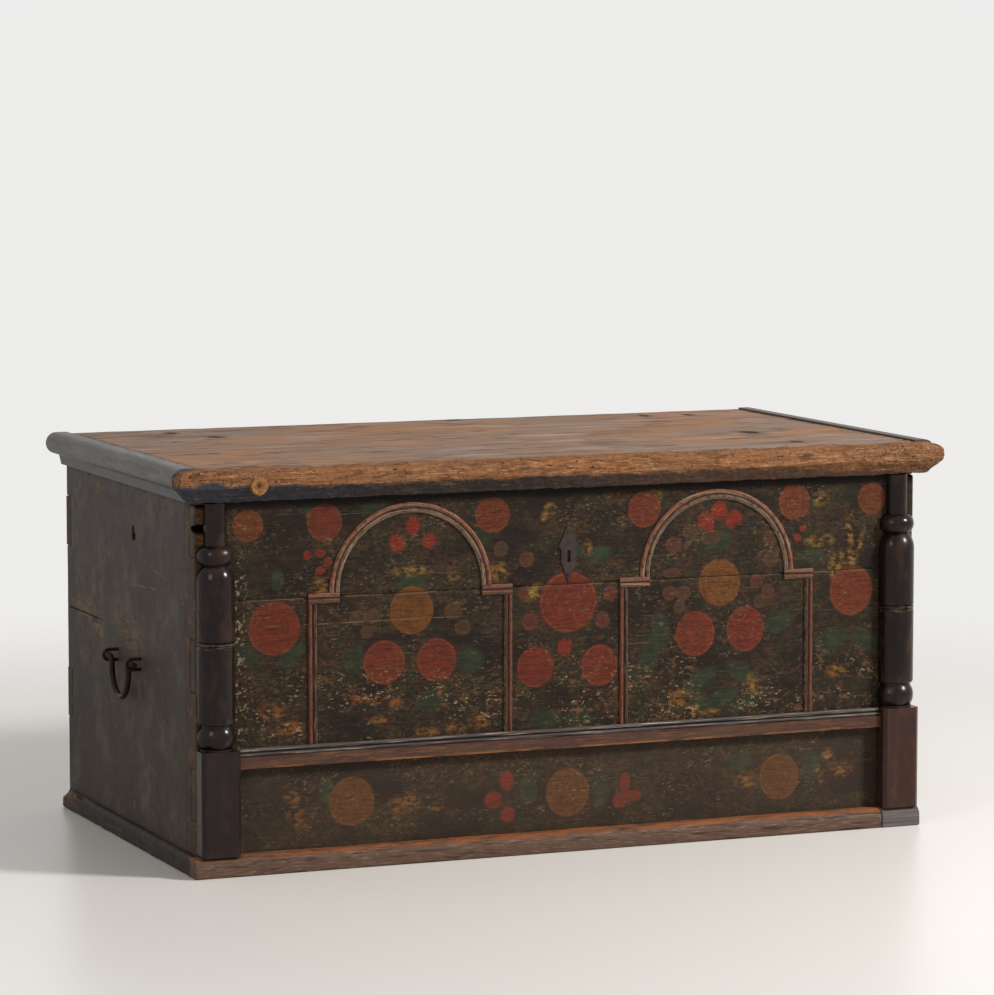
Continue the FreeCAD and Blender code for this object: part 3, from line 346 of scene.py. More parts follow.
def painted_front():
    """Dark oil ground with flowers, rubbed through in scratches and flecks."""
    material, tree, place, speckle = start("oil_paint_on_pine_front")
    wobble = speckle((11, 11, 11), 0.3, 0.7, seed=33.0)
    kept = speckle((18, 18, 8), 0.27, 0.38, seed=3.0)
    half_kept = speckle((12, 12, 7), 0.42, 0.58, seed=21.0)
    x, y, height = axes_of(tree, place)
    reach = {}
    tone = {}
    for kind in FRONT_MARKS:
        rough = COMPASS if kind in ("red", "ochre") else BRUSH
        reach[kind], tone[kind] = marked(tree, kind, wobble, rough)

    green = speckle((34, 34, 28), 0.44, 0.58, seed=7.0)
    brown = speckle((22, 22, 15), 0.46, 0.60, seed=13.0, detail=2.0)
    reddish = speckle((26, 26, 18), 0.52, 0.63, seed=53.0, detail=2.0)
    upright = speckle((5, 5, 22), 0.52, 0.68, seed=37.0)
    smoke = speckle((90, 90, 60), 0.46, 0.62, seed=91.0)
    crumbs = speckle((6, 6, 4), 0.48, 0.62, seed=57.0)
    pits = speckle((7, 7, 5), 0.60, 0.66, seed=43.0)
    ground = coats(tree, "#2a221a", (green, "#282b1f"), (brown, "#3e301f"), (reddish, "#3d2a21"),
                   (upright, "#362a20"), (smoke, "#201915"), (crumbs, "#241c15"), (pits, "#191410"))

    stain = speckle((15, 15, 15), 0.42, 0.62, seed=31.0)
    strokes = speckle((5, 5, 3), 0.46, 0.66, seed=47.0)
    red_rim = together(tree, between(tree, reach["red"], 0.94, 0.99, 0.03), half_kept)
    bright_red = coats(tree, "#632419", (stain, "#53241b"), (strokes, "#5e2c21"))
    red = coats(tree, "#5c331d", (stain, "#4d2a1b"), (strokes, "#64401f"), (tone["red"], bright_red),
                (between(tree, reach["red"], 0.56, 0.60, 0.03), "#54241b"), (red_rim, "#703a28"))
    ochre_rim = together(tree, between(tree, reach["ochre"], 0.94, 0.99, 0.03), half_kept)
    ochre = coats(tree, "#54331d", (tone["ochre"], "#69401a"), (stain, "#4d301b"), (strokes, "#5f3c20"),
                  (between(tree, reach["ochre"], 0.52, 0.58, 0.03), "#4e301a"), (ochre_rim, "#6b4425"))
    berry_rim = together(tree, between(tree, reach["berry"], 0.80, 1.0, 0.1), half_kept)
    paints = {
        "leaf": coats(tree, "#2a2d20", (tone["leaf"], "#313a28"), (stain, "#282a1f")),
        "berry": coats(tree, "#3d2f22", (tone["berry"], "#55271e"), (strokes, "#3f2d21"),
                       (berry_rim, "#4c3b29")),
        "dab": coats(tree, "#75431f", (tone["dab"], "#826c34"), (stain, "#63401f")),
        "tulip": coats(tree, "#592b1f", (tone["tulip"], "#77251b"), (stain, "#642519"),
                       (strokes, "#69291f")),
        "ochre": ochre,
        "red": red,
        "raw": coats(tree, "#6b4326", (stain, "#4a2e1b"), (strokes, "#7a4f2c")),
    }
    softness = {"leaf": 0.2, "berry": 0.12, "dab": 0.4, "tulip": 0.16, "ochre": 0.04, "red": 0.04,
                "raw": 0.4}
    painted = ground
    for kind, paint in paints.items():
        left = half_kept if kind in ("dab", "raw") else kept
        disc = between(tree, reach[kind], -1, 1.02, softness[kind])
        painted = coats(tree, painted, (together(tree, disc, left), paint))

    low = ramp(tree, between(tree, height, 185, 255, 40), 0, 1, low=0.26)
    crowd = together(tree, speckle((80, 80, 50), 0.43, 0.58, seed=17.0), low)
    flecks = together(tree, speckle((6, 6, 3.4), 0.60, 0.63, seed=5.0), crowd)
    warm_flecks = together(tree, speckle((13, 13, 7), 0.54, 0.62, seed=77.0), crowd)
    dust = speckle((4.5, 4.5, 2.6), 0.70, 0.73, seed=71.0)
    margin = together(tree, between(tree, x, MARGIN - 8, MARGIN + 14, 9),
                      between(tree, height, RAIL_TOP, FRONT_JOINT + 60, 30),
                      speckle((5, 5, 6), 0.57, 0.62, seed=39.0))
    weave = speckle((26, 26, 1.8), 0.44, 0.92, seed=81.0)
    frieze = ramp(tree, between(tree, height, 0, RAIL_BOTTOM, 2), 0, 1, high=0.22)
    # Painted shadow: the top of the front board is painted nearly black just under the lid's lip, where
    # the lip casts its shadow.
    painted_lid_shadow = together(tree, between(tree, height, LIP_BOTTOM - 10, LIP_BOTTOM + 60, 5), kept)
    scratches = together(tree, speckle((46, 46, 1.4), 0.62, 0.69, seed=8.0),
                         speckle((150, 150, 50), 0.48, 0.60, seed=27.0))
    broken = speckle((50, 50, 50), 0.46, 0.54, seed=61.0)
    lower_crack = together(tree, between(tree, height, CRACK - 0.5, CRACK + 0.5, 0.5), broken,
                           between(tree, x, -530, -180, 30))
    seam = together(tree, between(tree, height, FRONT_JOINT - 1.2, FRONT_JOINT + 1.2, 0.5), broken)
    colour = coats(tree, painted, (weave, "#15100c"), (frieze, "#514338"), (warm_flecks, "#63442a"),
                   (scratches, "#5d4a37"), (flecks, "#94805f"), (dust, "#8c7a5f"), (margin, "#86745a"),
                   (seam, "#5f4b36"), (lower_crack, "#6d573f"), (painted_lid_shadow, "#15100d"))

    inside = between(tree, y, FRONT_FACE + 3, FRONT_FACE + 100, 0.5)
    sunk_in = between(tree, y, FRONT_FACE + 0.8, FRONT_FACE + 100, 0.3)
    # Painted shade: the walls of the keyhole are painted nearly black, as the shade inside the hole.
    keyhole_shade = together(tree, sunk_in,
                       between(tree, x, KEYHOLE_X - KEYHOLE_WIDE, KEYHOLE_X + KEYHOLE_WIDE, 1),
                       between(tree, height, KEYHOLE_Z - KEYHOLE_HIGH, KEYHOLE_Z + KEYHOLE_HIGH, 1))
    # Painted shade: the deepest part of the broken corner beside the left column is painted nearly
    # black, as the shade in the hollow.
    break_shade = together(tree, inside,
                          between(tree, x, -END_FACE - 10, CORNER_BREAK[0] + 30, 2),
                          between(tree, height, CORNER_BREAK[2] - 8, CORNER_BREAK[2] + 10, 3))
    wood, _ = pine_colour(tree, place, 0)
    colour = coats(tree, colour, (inside, wood), (keyhole_shade, "#0c0908"), (break_shade, "#130c09"))
    gloss = ramp(tree, crowd, 0, 1, 0.5, 0.75)
    relief = maths(tree, "ADD", scratches, flecks)
    finish_surface(tree, colour, gloss, relief, -0.2, shine=0.09)
    return material


front_paint = painted_front()
print("made", front_paint.name, "with", len(front_paint.node_tree.nodes), "nodes")

# %% [markdown]
# The ends have one thin coat of grey-brown paint, cloudy, and painted lighter and greyer towards the top
# as painted light from above. It is rubbed to bare wood at the front corner, scraped along the joint of
# the two boards, and stained with rust round the handle. Scrapes and stains are marks, as the flowers
# are, on the Y and Z of the board.

# %% The painted ends
# Each mark is y and z of the centre, half width and half height in millimetres, tone, turn.
LEFT_END_MARKS = {
    "rust": [(0, 280, 90, 62, 1.0), (-54, 236, 14, 46, 1.0), (30, 300, 44, 40, 1.0),
             (-170, 200, 120, 150, 0.35)],
    "scrape": [(238, 319, 66, 9, 1.0, 6), (165, 301, 42, 9, 1.0, 18), (200, 330, 44, 14, 0.7, 20),
               (-75, 391, 122, 1.6, 1.0, -3), (20, 395, 16, 12, 0.6), (147, 518, 34, 15, 0.5),
               (0, 312, 64, 34, 0.6, 10), (70, 334, 60, 26, 0.4, 20), (-280, 500, 14, 40, 0.9),
               (-120, 420, 60, 3, 0.5, 8)],
}
RIGHT_END_MARKS = {"rust": [(0, 285, 70, 56, 1.0)], "scrape": [(80, 318, 120, 3, 0.6, 2)]}
# Width of the rubbed strip down the front corner, and the place of a knot hole, in millimetres.
RUBBED = 44
KNOT_HOLE = (-END_FACE, -17, 461)


def painted_ends():
    """Thin matt paint, so that the ends look dull and cloudy beside the glossy columns."""
    material, tree, place, speckle = start("thin_oil_paint_on_pine_ends")
    x, y, z = axes_of(tree, place)
    wobble = speckle((16, 40, 16), 0.3, 0.7, seed=33.0)
    cloud = speckle((90, 140, 130), 0.38, 0.66, seed=6.0, detail=3.0)
    left_share = ramp(tree, x, -1, 1, 1.0, 0.4)
    pale = together(tree, left_share, speckle((60, 80, 90), 0.46, 0.68, seed=18.0))
    mottle = speckle((14, 30, 26), 0.46, 0.64, seed=2.0)
    worn = speckle((12, 24, 16), 0.60, 0.70, seed=12.0)
    flecks = speckle((4, 12, 5), 0.67, 0.72, seed=15.0)
    # Painted light: the paint grows lighter and greyer towards the top, as light falling from above.
    high = ramp(tree, z, 380, 540, high=0.7)
    strip = between(tree, y, FRONT_FACE - 50, FRONT_FACE + RUBBED, 4)
    strip_shade = together(tree, strip, speckle((12, 40, 60), 0.30, 0.52, seed=69.0))
    strip_line = together(tree, between(tree, y, FRONT_FACE + RUBBED, FRONT_FACE + RUBBED + 3, 1),
                          speckle((40, 40, 60), 0.38, 0.50, seed=73.0))
    corner = together(tree, strip, speckle((7, 30, 20), 0.54, 0.64, seed=63.0))
    open_joint = together(tree, between(tree, z, END_JOINT - 1.2, END_JOINT + 1.2, 0.6),
                          between(tree, y, 140, 340, 12))
    rust, rusty = marked(tree, "rust", wobble, 0.6)
    scrape, strength = marked(tree, "scrape", wobble, 0.5)
    stained = together(tree, between(tree, rust, -1, 0.9, 0.5), rusty,
                       speckle((14, 44, 18), 0.38, 0.60))
    scraped = together(tree, between(tree, scrape, -1, 1.1, 0.3), strength,
                       speckle((9, 30, 7), 0.40, 0.58, seed=44.0))
    paint = coats(tree, "#3f362e", (cloud, "#322b26"), (high, "#4c4544"), (pale, "#564d44"),
                  (mottle, "#3b332d"), (worn, "#55452f"), (stained, "#33241a"),
                  (scraped, "#70593d"), (strip_shade, "#372a1f"), (strip_line, "#150f0c"),
                  (corner, "#5b3c23"), (open_joint, "#17110d"), (flecks, "#75634a"))
    wide = maths(tree, "ABSOLUTE", x)
    sunk_in = between(tree, wide, -1, END_FACE - 2, 0.5)
    behind = between(tree, y, FRONT_FACE + 2, FRONT_FACE + 700, 0.5)
    wood, _ = pine_colour(tree, place, 1)
    # Painted shade: the inside of the knot hole is painted nearly black, as the shade in the hole.
    hole_shade = together(tree, sunk_in,
                    between(tree, y, KNOT_HOLE[1] - 30, KNOT_HOLE[1] + 30, 2),
                    between(tree, z, KNOT_HOLE[2] - 20, KNOT_HOLE[2] + 30, 2))
    colour = coats(tree, paint, (together(tree, sunk_in, behind), wood), (hole_shade, "#0f0a08"))
    relief = maths(tree, "ADD", mottle, scraped)
    finish_surface(tree, colour, 0.62, relief, -0.25)
    return material


end_paint = painted_ends()
print("made", end_paint.name)

# %% [markdown]
# Columns and plinths were turned and planed smooth, then painted nearly black and rubbed by hands
# to a half gloss. That gloss gives the sharp lights down the shafts.

# %% Dark turned pieces
# Two lines are scribed round each shaft, at this share of the column's height.
column_low, column_high = box_mm("left_column")
SCRIBED = column_low[2] + 0.426 * (column_high[2] - column_low[2])


def dark_turning(name, ground, wear, worn_through):
    """Dark paint on smooth wood, with a gloss that shows small sharp lights."""
    material, tree, place, speckle = start(name)
    streaks = speckle((9, 9, 90), 0.46, 0.64, seed=2.0, detail=1.5)
    rubbed = speckle((22, 22, 40), 0.50, 0.68, seed=6.0, detail=1.0)
    specks = speckle((3.5, 3.5, 4), 0.71, 0.74, seed=14.0)
    height = axes_of(tree, place)["Z"]
    scribed = together(tree, between(tree, height, SCRIBED - 4.0, SCRIBED + 4.0, 0.8),
                       speckle((14, 14, 1.6), 0.50, 0.60, seed=51.0))
    colour = coats(tree, ground, (streaks, wear), (rubbed, worn_through), (scribed, "#54473c"),
                   (specks, "#8d7d6b"))
    gloss = ramp(tree, rubbed, 0, 1, 0.2, 0.32)
    finish_surface(tree, colour, gloss, rubbed, -0.2, shine=0.2)
    return material


column_paint = dark_turning("black_oil_paint_on_turned_pine", "#140c09", "#1d120e", "#2a1a12")
plinth_paint = dark_turning("black_oil_paint_on_planed_pine", "#1f1515", "#241817", "#281a17")
red_plinth_paint = dark_turning("brown_oil_paint_on_planed_pine", "#301c16", "#362119", "#3e231b")
print("made", column_paint.name, plinth_paint.name, red_plinth_paint.name)

# %% [markdown]
# The arcade strips carry two reeds. The outer one is pink-red, the inner one greyed, and the groove
# between them is painted as a dark line of painted shade. What differs between ring, shoulder and post
# is only the way across the strip, so that is worked out first and the same paint is laid on all three.

# %% Arcade strips
ring_low, ring_high = box_mm("right_arch_ring")
shoulder_low, shoulder_high = box_mm("right_arch_shoulder_left")
post_low, post_high = box_mm("right_arch_post_right")
ARCH_X = (ring_low[0] + ring_high[0]) / 2
SPRINGING = shoulder_high[2]
STRIP = SPRINGING - shoulder_low[2]
RING_INSIDE = ring_high[2] - SPRINGING - STRIP
POST_INSIDE = post_low[0] - ARCH_X
POST = post_high[0] - post_low[0]
# The groove as a share of the way across, and how many streaks lie side by side on a strip.
GROOVE, STREAKS = 0.5, 11.0


def arcade_paint(name, across, outside, inside, bare):
    """Paint for a strip; across makes 0 at its inner edge and 1 at its outer edge.

    The line half way across, between the outside and inside colours, is painted dark as painted shade in
    the hollow between the reeds.
    Bare is the colour of the scratches, which run along the strip and catch the eye as pale lines.
    """
    material, tree, place, speckle = start(name)
    share = across(tree, axes_of(tree, place))
    worn = speckle((9, 9, 9), 0.46, 0.60, seed=4.0)
    steps = add(tree, "CombineXYZ", {0: maths(tree, "MULTIPLY", share, STREAKS)})
    along = add(tree, "VectorMath", {0: place, 1: (0.04, 0.04, 0.04), 2: steps},
                operation="MULTIPLY_ADD")
    pale = blotches(tree, along, (1, 1, 1), 0.51, 0.63, seed=11.0)
    inner = between(tree, share, -0.2, GROOVE, 0.02)
    # Painted shade: the line half way across, between the reeds, is painted nearly black, as the shade
    # in the hollow.
    line = between(tree, share, GROOVE - 0.05, GROOVE + 0.05, 0.03)
    edge = together(tree, between(tree, share, -0.1, 0.1, 0.04), worn)
    colour = coats(tree, outside, (worn, "#4f3128"), (inner, inside),
                   (together(tree, inner, worn), "#3a2d23"), (pale, bare), (edge, bare),
                   (line, "#1d1512"))
    finish_surface(tree, colour, 0.6, pale, -0.3, shine=0.12)
    return material


def ring_share(tree, axes):
    wide = maths(tree, "ABSOLUTE", axes["X"])
    side = maths(tree, "SUBTRACT", wide, ARCH_X)
    rise = maths(tree, "SUBTRACT", axes["Z"], SPRINGING)
    flat = add(tree, "CombineXYZ", {0: side, 1: rise})
    radius = add(tree, "VectorMath", {0: flat}, operation="LENGTH")
    return ramp(tree, radius, RING_INSIDE, RING_INSIDE + STRIP)


def shoulder_share(tree, axes):
    return ramp(tree, axes["Z"], SPRINGING - STRIP, SPRINGING)


def post_share(tree, axes):
    wide = maths(tree, "ABSOLUTE", axes["X"])
    side = maths(tree, "SUBTRACT", wide, ARCH_X)
    off = maths(tree, "ABSOLUTE", side)
    return ramp(tree, off, POST_INSIDE, POST_INSIDE + POST)


ring_paint = arcade_paint("red_oil_paint_on_carved_ring", ring_share, "#784a38", "#5f4c3b", "#8d745c")
shoulder_paint = arcade_paint("red_oil_paint_on_carved_shoulder", shoulder_share, "#6d4033", "#5a392d",
                              "#86694f")
post_paint = arcade_paint("red_oil_paint_on_carved_post", post_share, "#68372a", "#3a2a21", "#6d523e")
print("made", ring_paint.name, shoulder_paint.name, post_paint.name)

# %% [markdown]
# The rail was planed with two reeds over a plain fascia. The reeds keep blue-grey paint with pale
# scratches along them, and the fascia has worn to red-brown. The base strip has lost its paint on
# the rounded top, where feet knock it, and gone to bare orange wood.

# %% Rail and base mouldings
def rail_paint():
    """Paint on two reeds and a fascia; scratches along the reeds catch the eye as pale lines."""
    material, tree, place, speckle = start("oil_paint_on_planed_rail")
    height = axes_of(tree, place)["Z"]
    reeds = between(tree, height, RAIL_TOP - 10.5, RAIL_TOP + 10, 0.6)
    # Painted shade: the groove between the two reeds is painted nearly black, as the shade in the
    # crease.
    groove_shade = between(tree, height, RAIL_TOP - 6.4, RAIL_TOP - 4.6, 0.4)
    pale = speckle((70, 1.6, 1.4), 0.52, 0.63, seed=3.0)
    patch = speckle((60, 30, 9), 0.46, 0.60, seed=8.0)
    rubbed = speckle((30, 8, 3), 0.56, 0.66, seed=15.0)
    low_edge = together(tree, between(tree, height, RAIL_BOTTOM - 3, RAIL_BOTTOM + 2.5, 1.0), patch)
    fascia = coats(tree, "#41281f", (patch, "#4a3322"), (rubbed, "#68412c"), (low_edge, "#7d4e28"))
    reed = coats(tree, "#3b3433", (patch, "#463a33"), (pale, "#a59689"))
    colour = coats(tree, fascia, (reeds, reed), (groove_shade, "#1c1816"))
    finish_surface(tree, colour, 0.5, pale, -0.3, shine=0.2)
    return material


def base_paint():
    """Scuffed paint with a bare rounded top, which shows as an orange line along the foot."""
    material, tree, place, speckle = start("worn_oil_paint_on_base_strip")
    height = axes_of(tree, place)["Z"]
    top = ramp(tree, height, BASE_TOP - 7, BASE_TOP - 1)
    worn = speckle((50, 20, 6), 0.36, 0.56, seed=3.0)
    pale = speckle((26, 7, 2.4), 0.52, 0.66, seed=8.0)
    dark = speckle((60, 9, 4), 0.56, 0.66, seed=18.0)
    colour = coats(tree, "#543f33", (pale, "#725b4c"), (dark, "#392920"),
                   (together(tree, top, worn), "#8a5029"))
    finish_surface(tree, colour, 0.62, dark, -0.4)
    return material


def end_base_paint():
    """Dull dark paint, broken to bare wood at the back end."""
    material, tree, place, speckle = start("dark_oil_paint_on_end_base_strip")
    place_y = axes_of(tree, place)["Y"]
    pale = speckle((9, 60, 5), 0.54, 0.68, seed=8.0)
    ragged = speckle((14, 30, 9), 0.40, 0.55, seed=22.0)
    broken_end = together(tree, between(tree, place_y, 245, 400, 20), ragged)
    colour = coats(tree, "#2a221e", (pale, "#3d322c"), (broken_end, "#55402b"))
    finish_surface(tree, colour, 0.6, pale, -0.4)
    return material


def patch_wood():
    """Bare pine that has weathered to a dry silver grey."""
    material, tree, _, speckle = start("weathered_grey_pine_patch")
    grain = speckle((160, 3, 2.2), 0.42, 0.62, seed=5.0)
    cracks = speckle((90, 3, 1.4), 0.62, 0.68, seed=9.0)
    colour = coats(tree, "#625a57", (grain, "#4f4846"), (cracks, "#2a2422"))
    finish_surface(tree, colour, 0.75, grain, -0.5)
    return material


rail, base, end_base, patch = rail_paint(), base_paint(), end_base_paint(), patch_wood()
print("made", rail.name, base.name, end_base.name, patch.name)

# %% [markdown]
# The lid's planks are bare and weathered: grey-brown, with orange where rubbing has opened fresh
# wood, and dark lines where the soft grain has sunk. The front edge keeps a band of blue-black
# paint below, and above it is crumbled to raw wood full of worm holes.

# %% Lid wood
# Knots on the planks: x and y of the centre, half width and half depth in millimetres, tone, turn.
LID_MARKS = {
    "knot": [(-428, 249, 9, 13, 1.0), (-384, 165, 12, 16, 1.0), (63, 300, 12, 12, 0.8),
             (378, 256, 8, 16, 1.0), (452, 247, 8, 14, 0.8), (407, -71, 13, 20, 1.0, 20),
             (405, -244, 10, 14, 0.8)],
}


def lid_wood():
    """Bare pine worn by weather: grey and orange patches, sunk grain, dark joints and knots."""
    material, tree, place, speckle = start("weathered_pine_lid_planks")
    x, y, z = axes_of(tree, place)
    wobble = speckle((9, 9, 9), 0.3, 0.7, seed=33.0)
    grain = speckle((240, 8, 5), 0.46, 0.62, seed=4.0)
    grey = speckle((300, 130, 60), 0.44, 0.58, seed=7.0)
    warm = speckle((340, 150, 46), 0.48, 0.62, seed=13.0)
    dark = speckle((150, 80, 40), 0.54, 0.66, seed=16.0)
    dirt = speckle((90, 22, 10), 0.58, 0.68, seed=35.0)
    bleached = speckle((190, 34, 12), 0.54, 0.70, seed=55.0)
    gaps = [between(tree, y, joint - 1.5, joint + 1.5, 1.0) for joint in PLANK_JOINTS]
    open_joint = maths(tree, "ADD", gaps[0], gaps[1])
    cracks = together(tree, speckle((280, 7, 8), 0.61, 0.65, seed=19.0),
                      speckle((200, 90, 90), 0.46, 0.56, seed=67.0))
    knot, _ = marked(tree, "knot", wobble, 0.4)
    wide = maths(tree, "ABSOLUTE", x)
    near_end = between(tree, wide, PLANK_END - 14, PLANK_END + 10, 5)
    end_dirt = together(tree, near_end, speckle((16, 12, 12), 0.38, 0.56, seed=87.0))
    chips = together(tree, near_end, speckle((9, 14, 9), 0.58, 0.64, seed=93.0))
    heart = between(tree, knot, -1, 1.15, 0.12)
    halo = between(tree, knot, -1, 1.7, 0.5)
    colour = coats(tree, "#90715c", (grey, "#87766a"), (warm, "#a0714c"), (dark, "#695442"),
                   (grain, "#7d6452"), (bleached, "#a08b7d"), (dirt, "#513e35"), (halo, "#6d4f38"),
                   (end_dirt, "#4b382b"), (chips, "#a0642f"),
                   (cracks, "#33251c"), (open_joint, "#2b1f18"), (heart, "#1b110b"))
    inside = between(tree, z, 0, LID_UNDERSIDE + 2, 0.8)
    wood, _ = pine_colour(tree, place, 0)
    colour = coats(tree, colour, (inside, wood))
    relief = maths(tree, "ADD", grain, cracks)
    finish_surface(tree, colour, 0.7, relief, -0.5)
    return material


def lid_edge_wood():
    """Raw crumbling wood above a ragged band of paint, rough and without any gloss."""
    material, tree, place, speckle = start("crumbled_pine_and_paint_lid_edge")
    along, _, height = axes_of(tree, place)
    left_rise = ramp(tree, along, -380, -520, high=7)
    right_fall = ramp(tree, along, 300, 540, high=16)
    level = maths(tree, "SUBTRACT", left_rise, right_fall)
    ragged = speckle((34, 34, 12), 0.3, 0.7, seed=3.0)
    line = maths(tree, "MULTIPLY_ADD", ragged, 9.0, level)
    above = maths(tree, "SUBTRACT", height, line)
    paint = ramp(tree, above, LIP_BOTTOM + 18.5, LIP_BOTTOM + 13.5)
    grain = speckle((70, 3.5, 3.5), 0.44, 0.62, seed=8.0)
    fibres = speckle((26, 3, 2.4), 0.54, 0.66, seed=15.0)
    burn = speckle((36, 14, 9), 0.48, 0.64, seed=12.0)
    grimy = speckle((90, 40, 40), 0.46, 0.62, seed=48.0)
    pits = speckle((9, 6, 4), 0.62, 0.68, seed=23.0)
    wide = maths(tree, "ABSOLUTE", along)
    ends = ramp(tree, wide, 380, 560)
    worm = together(tree, speckle((4, 4, 4), 0.56, 0.62, seed=83.0), ends)
    scuffs = speckle((30, 8, 3), 0.60, 0.67, seed=41.0)
    wood = coats(tree, "#8c5c39", (grain, "#744a2c"), (grimy, "#7d5638"), (burn, "#5f3d25"),
                 (fibres, "#a57a52"), (pits, "#2e1c12"), (worm, "#2a1a10"))
    blue = ramp(tree, along, -200, -480)
    brown = ramp(tree, along, -100, 250)
    band = coats(tree, "#3b3431", (blue, "#35353c"), (brown, "#553f33"), (scuffs, "#6d5038"))
    colour = coats(tree, wood, (paint, band))
    relief = maths(tree, "ADD", grain, pits)
    finish_surface(tree, colour, 0.65, relief, -0.8)
    return material


def knot_wood():
    """A knot stands proud, because it is harder than the wood that has worn round it."""
    material, tree, place, speckle = start("raised_pine_knot")
    far = add(tree, "VectorMath", {0: place, 1: EDGE_KNOT}, operation="DISTANCE")
    ragged = maths(tree, "MULTIPLY_ADD", speckle((5, 5, 5), 0.3, 0.7), 6.0, far)
    flecks = speckle((3, 3, 3), 0.5, 0.64, seed=5.0)
    core = between(tree, ragged, -1, 9.0, 1.5)
    heart = between(tree, ragged, -1, 5.0, 1.0)
    colour = coats(tree, "#93653a", (flecks, "#6f4726"), (core, "#6d4325"), (heart, "#2f1a0f"))
    finish_surface(tree, colour, 0.6, flecks, -0.5)
    return material


def grey_moulding():
    """Grey paint with a soft sheen, rubbed to brown on the right end of the lid, with painted shade
    darkening its lower cove.
    """
    material, tree, place, speckle = start("grey_oil_paint_on_lid_end_moulding")
    pale = speckle((12, 90, 9), 0.46, 0.64, seed=5.0)
    cloud = speckle((60, 120, 40), 0.44, 0.60, seed=34.0)
    dirt = speckle((9, 50, 6), 0.56, 0.66, seed=14.0)
    specks = speckle((4, 5, 4), 0.67, 0.70, seed=25.0)
    x, _, z = axes_of(tree, place)
    rubbed_end = between(tree, x, 0, END_FACE + 100, 1)
    # Painted shade: the lower cove of the moulding is painted darker, as the shade under its round top.
    cove_shade = ramp(tree, z, LID_UNDERSIDE + 10, LID_UNDERSIDE, high=0.75)
    colour = coats(tree, "#4f4c49", (cloud, "#444141"), (pale, "#605c59"), (rubbed_end, "#4d4037"),
                   (dirt, "#393633"), (cove_shade, "#332e2a"), (specks, "#221e1c"))
    finish_surface(tree, colour, 0.45, dirt, -0.25, shine=0.25)
    return material


EDGE_KNOT = (-490.0, -338.0, 562.0)
planks_wood, edge_wood, raised_knot, end_grey = lid_wood(), lid_edge_wood(), knot_wood(), grey_moulding()
print("made", planks_wood.name, edge_wood.name, raised_knot.name, end_grey.name)

# %% [markdown]
# Hinges, lock, handles and escutcheon are forged iron, hammered and left to rust. Rust is no
# metal to the eye, so most of the surface is rough and brown, with a little dark sheen.

# %% Wrought iron
def wrought_iron(name, ground, rust, pitting):
    """Hammered iron under a skin of rust, pitted to this depth in millimetres."""
    material, tree, _, speckle = start(name)
    scale = speckle((9, 9, 9), 0.44, 0.60, seed=3.0)
    grit = speckle((2.5, 2.5, 2.5), 0.50, 0.66, seed=9.0)
    colour = coats(tree, ground, (scale, rust))
    tree.nodes["Principled BSDF"].inputs["Metallic"].default_value = 0.1
    gloss = ramp(tree, scale, 0, 1, 0.42, 0.65)
    finish_surface(tree, colour, gloss, grit, -pitting, shine=0.18)
    return material


iron = wrought_iron("forged_iron_rusted", "#160d08", "#2c1b11", 0.4)
plate_iron = wrought_iron("forged_iron_plate_browned", "#332826", "#3b2d29", 0.05)
print("made", iron.name, plate_iron.name)

# %% [markdown]
# Every solid now gets the finish of its real piece, chosen by its name. Pieces that get a worn copy
# below are dressed as well, because the copy takes the finish with it.

# %% Dress every solid
FINISHES = (
    ("lid_end*", end_grey), ("*handle*", iron), ("*hinge*", iron), ("lock_*", iron),
    ("escutcheon*", plate_iron), ("front_*", front_paint), ("*_side_*", end_paint),
    ("back_*", pine_along), ("bottom_*", pine_along), ("*column*", column_paint),
    ("right*plinth*", red_plinth_paint), ("*plinth*", plinth_paint), ("*ring*", ring_paint),
    ("*shoulder*", shoulder_paint), ("*post*", post_paint), ("lid_plank*", planks_wood),
    ("lid_front_edge", edge_wood), ("base_corner_patch", patch), ("base_moulding_front", base),
    ("mid_rail_moulding", rail), ("*", end_base),
)


def finish_for(node):
    """The finish of a CAD piece: the first in the table whose pattern fits its name."""
    return next(finish for pattern, finish in FINISHES if fnmatch(node, pattern))


for name, solid in nodes.items():
    solid.data.materials.clear()
    solid.data.materials.append(finish_for(name))
print("dressed", len(nodes), "solids")

# %% [markdown]
# The most worn pieces get copies of their own. A copy is merged, cut into a fine even mesh by a
# voxel remesh, which also rounds its corners as wear does, and then dented by a cloud pattern.

# %% Worn copies
def worn_copy(stands_for, voxel, dents):
    """Stand one dented copy in for these CAD pieces; dents are (size, depth) in millimetres."""
    bpy.ops.object.select_all(action="DESELECT")
    for node in stands_for:
        nodes[node].select_set(True)
    bpy.context.view_layer.objects.active = nodes[stands_for[0]]
    bpy.ops.object.duplicate()
    if len(stands_for) > 1:
        bpy.ops.object.join()
    piece = bpy.context.active_object
    piece.name = "worn_" + stands_for[0]
    body = piece["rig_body"]
    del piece["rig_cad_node"]
    bpy.ops.object.mode_set(mode="EDIT")
    bpy.ops.mesh.select_all(action="SELECT")
    bpy.ops.mesh.remove_doubles(threshold=0.00001)
    bpy.ops.object.mode_set(mode="OBJECT")
    remesh = piece.modifiers.new("fine_mesh", "REMESH")
    remesh.mode = "VOXEL"
    remesh.voxel_size = voxel / 1000
    bpy.ops.object.modifier_apply(modifier=remesh.name)
    for size, depth in dents:
        cloud = bpy.data.textures.new(f"{piece.name}_dents_{size}", "CLOUDS")
        cloud.noise_scale = size / 1000
        dent = piece.modifiers.new("dents", "DISPLACE")
        dent.texture = cloud
        dent.strength = depth / 1000
        dent.mid_level = 0.62
        bpy.ops.object.modifier_apply(modifier=dent.name)
    bpy.ops.object.shade_smooth()
    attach(piece, body)
    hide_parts(*stands_for)
    print(piece.name, "faces", len(piece.data.polygons))
    return piece


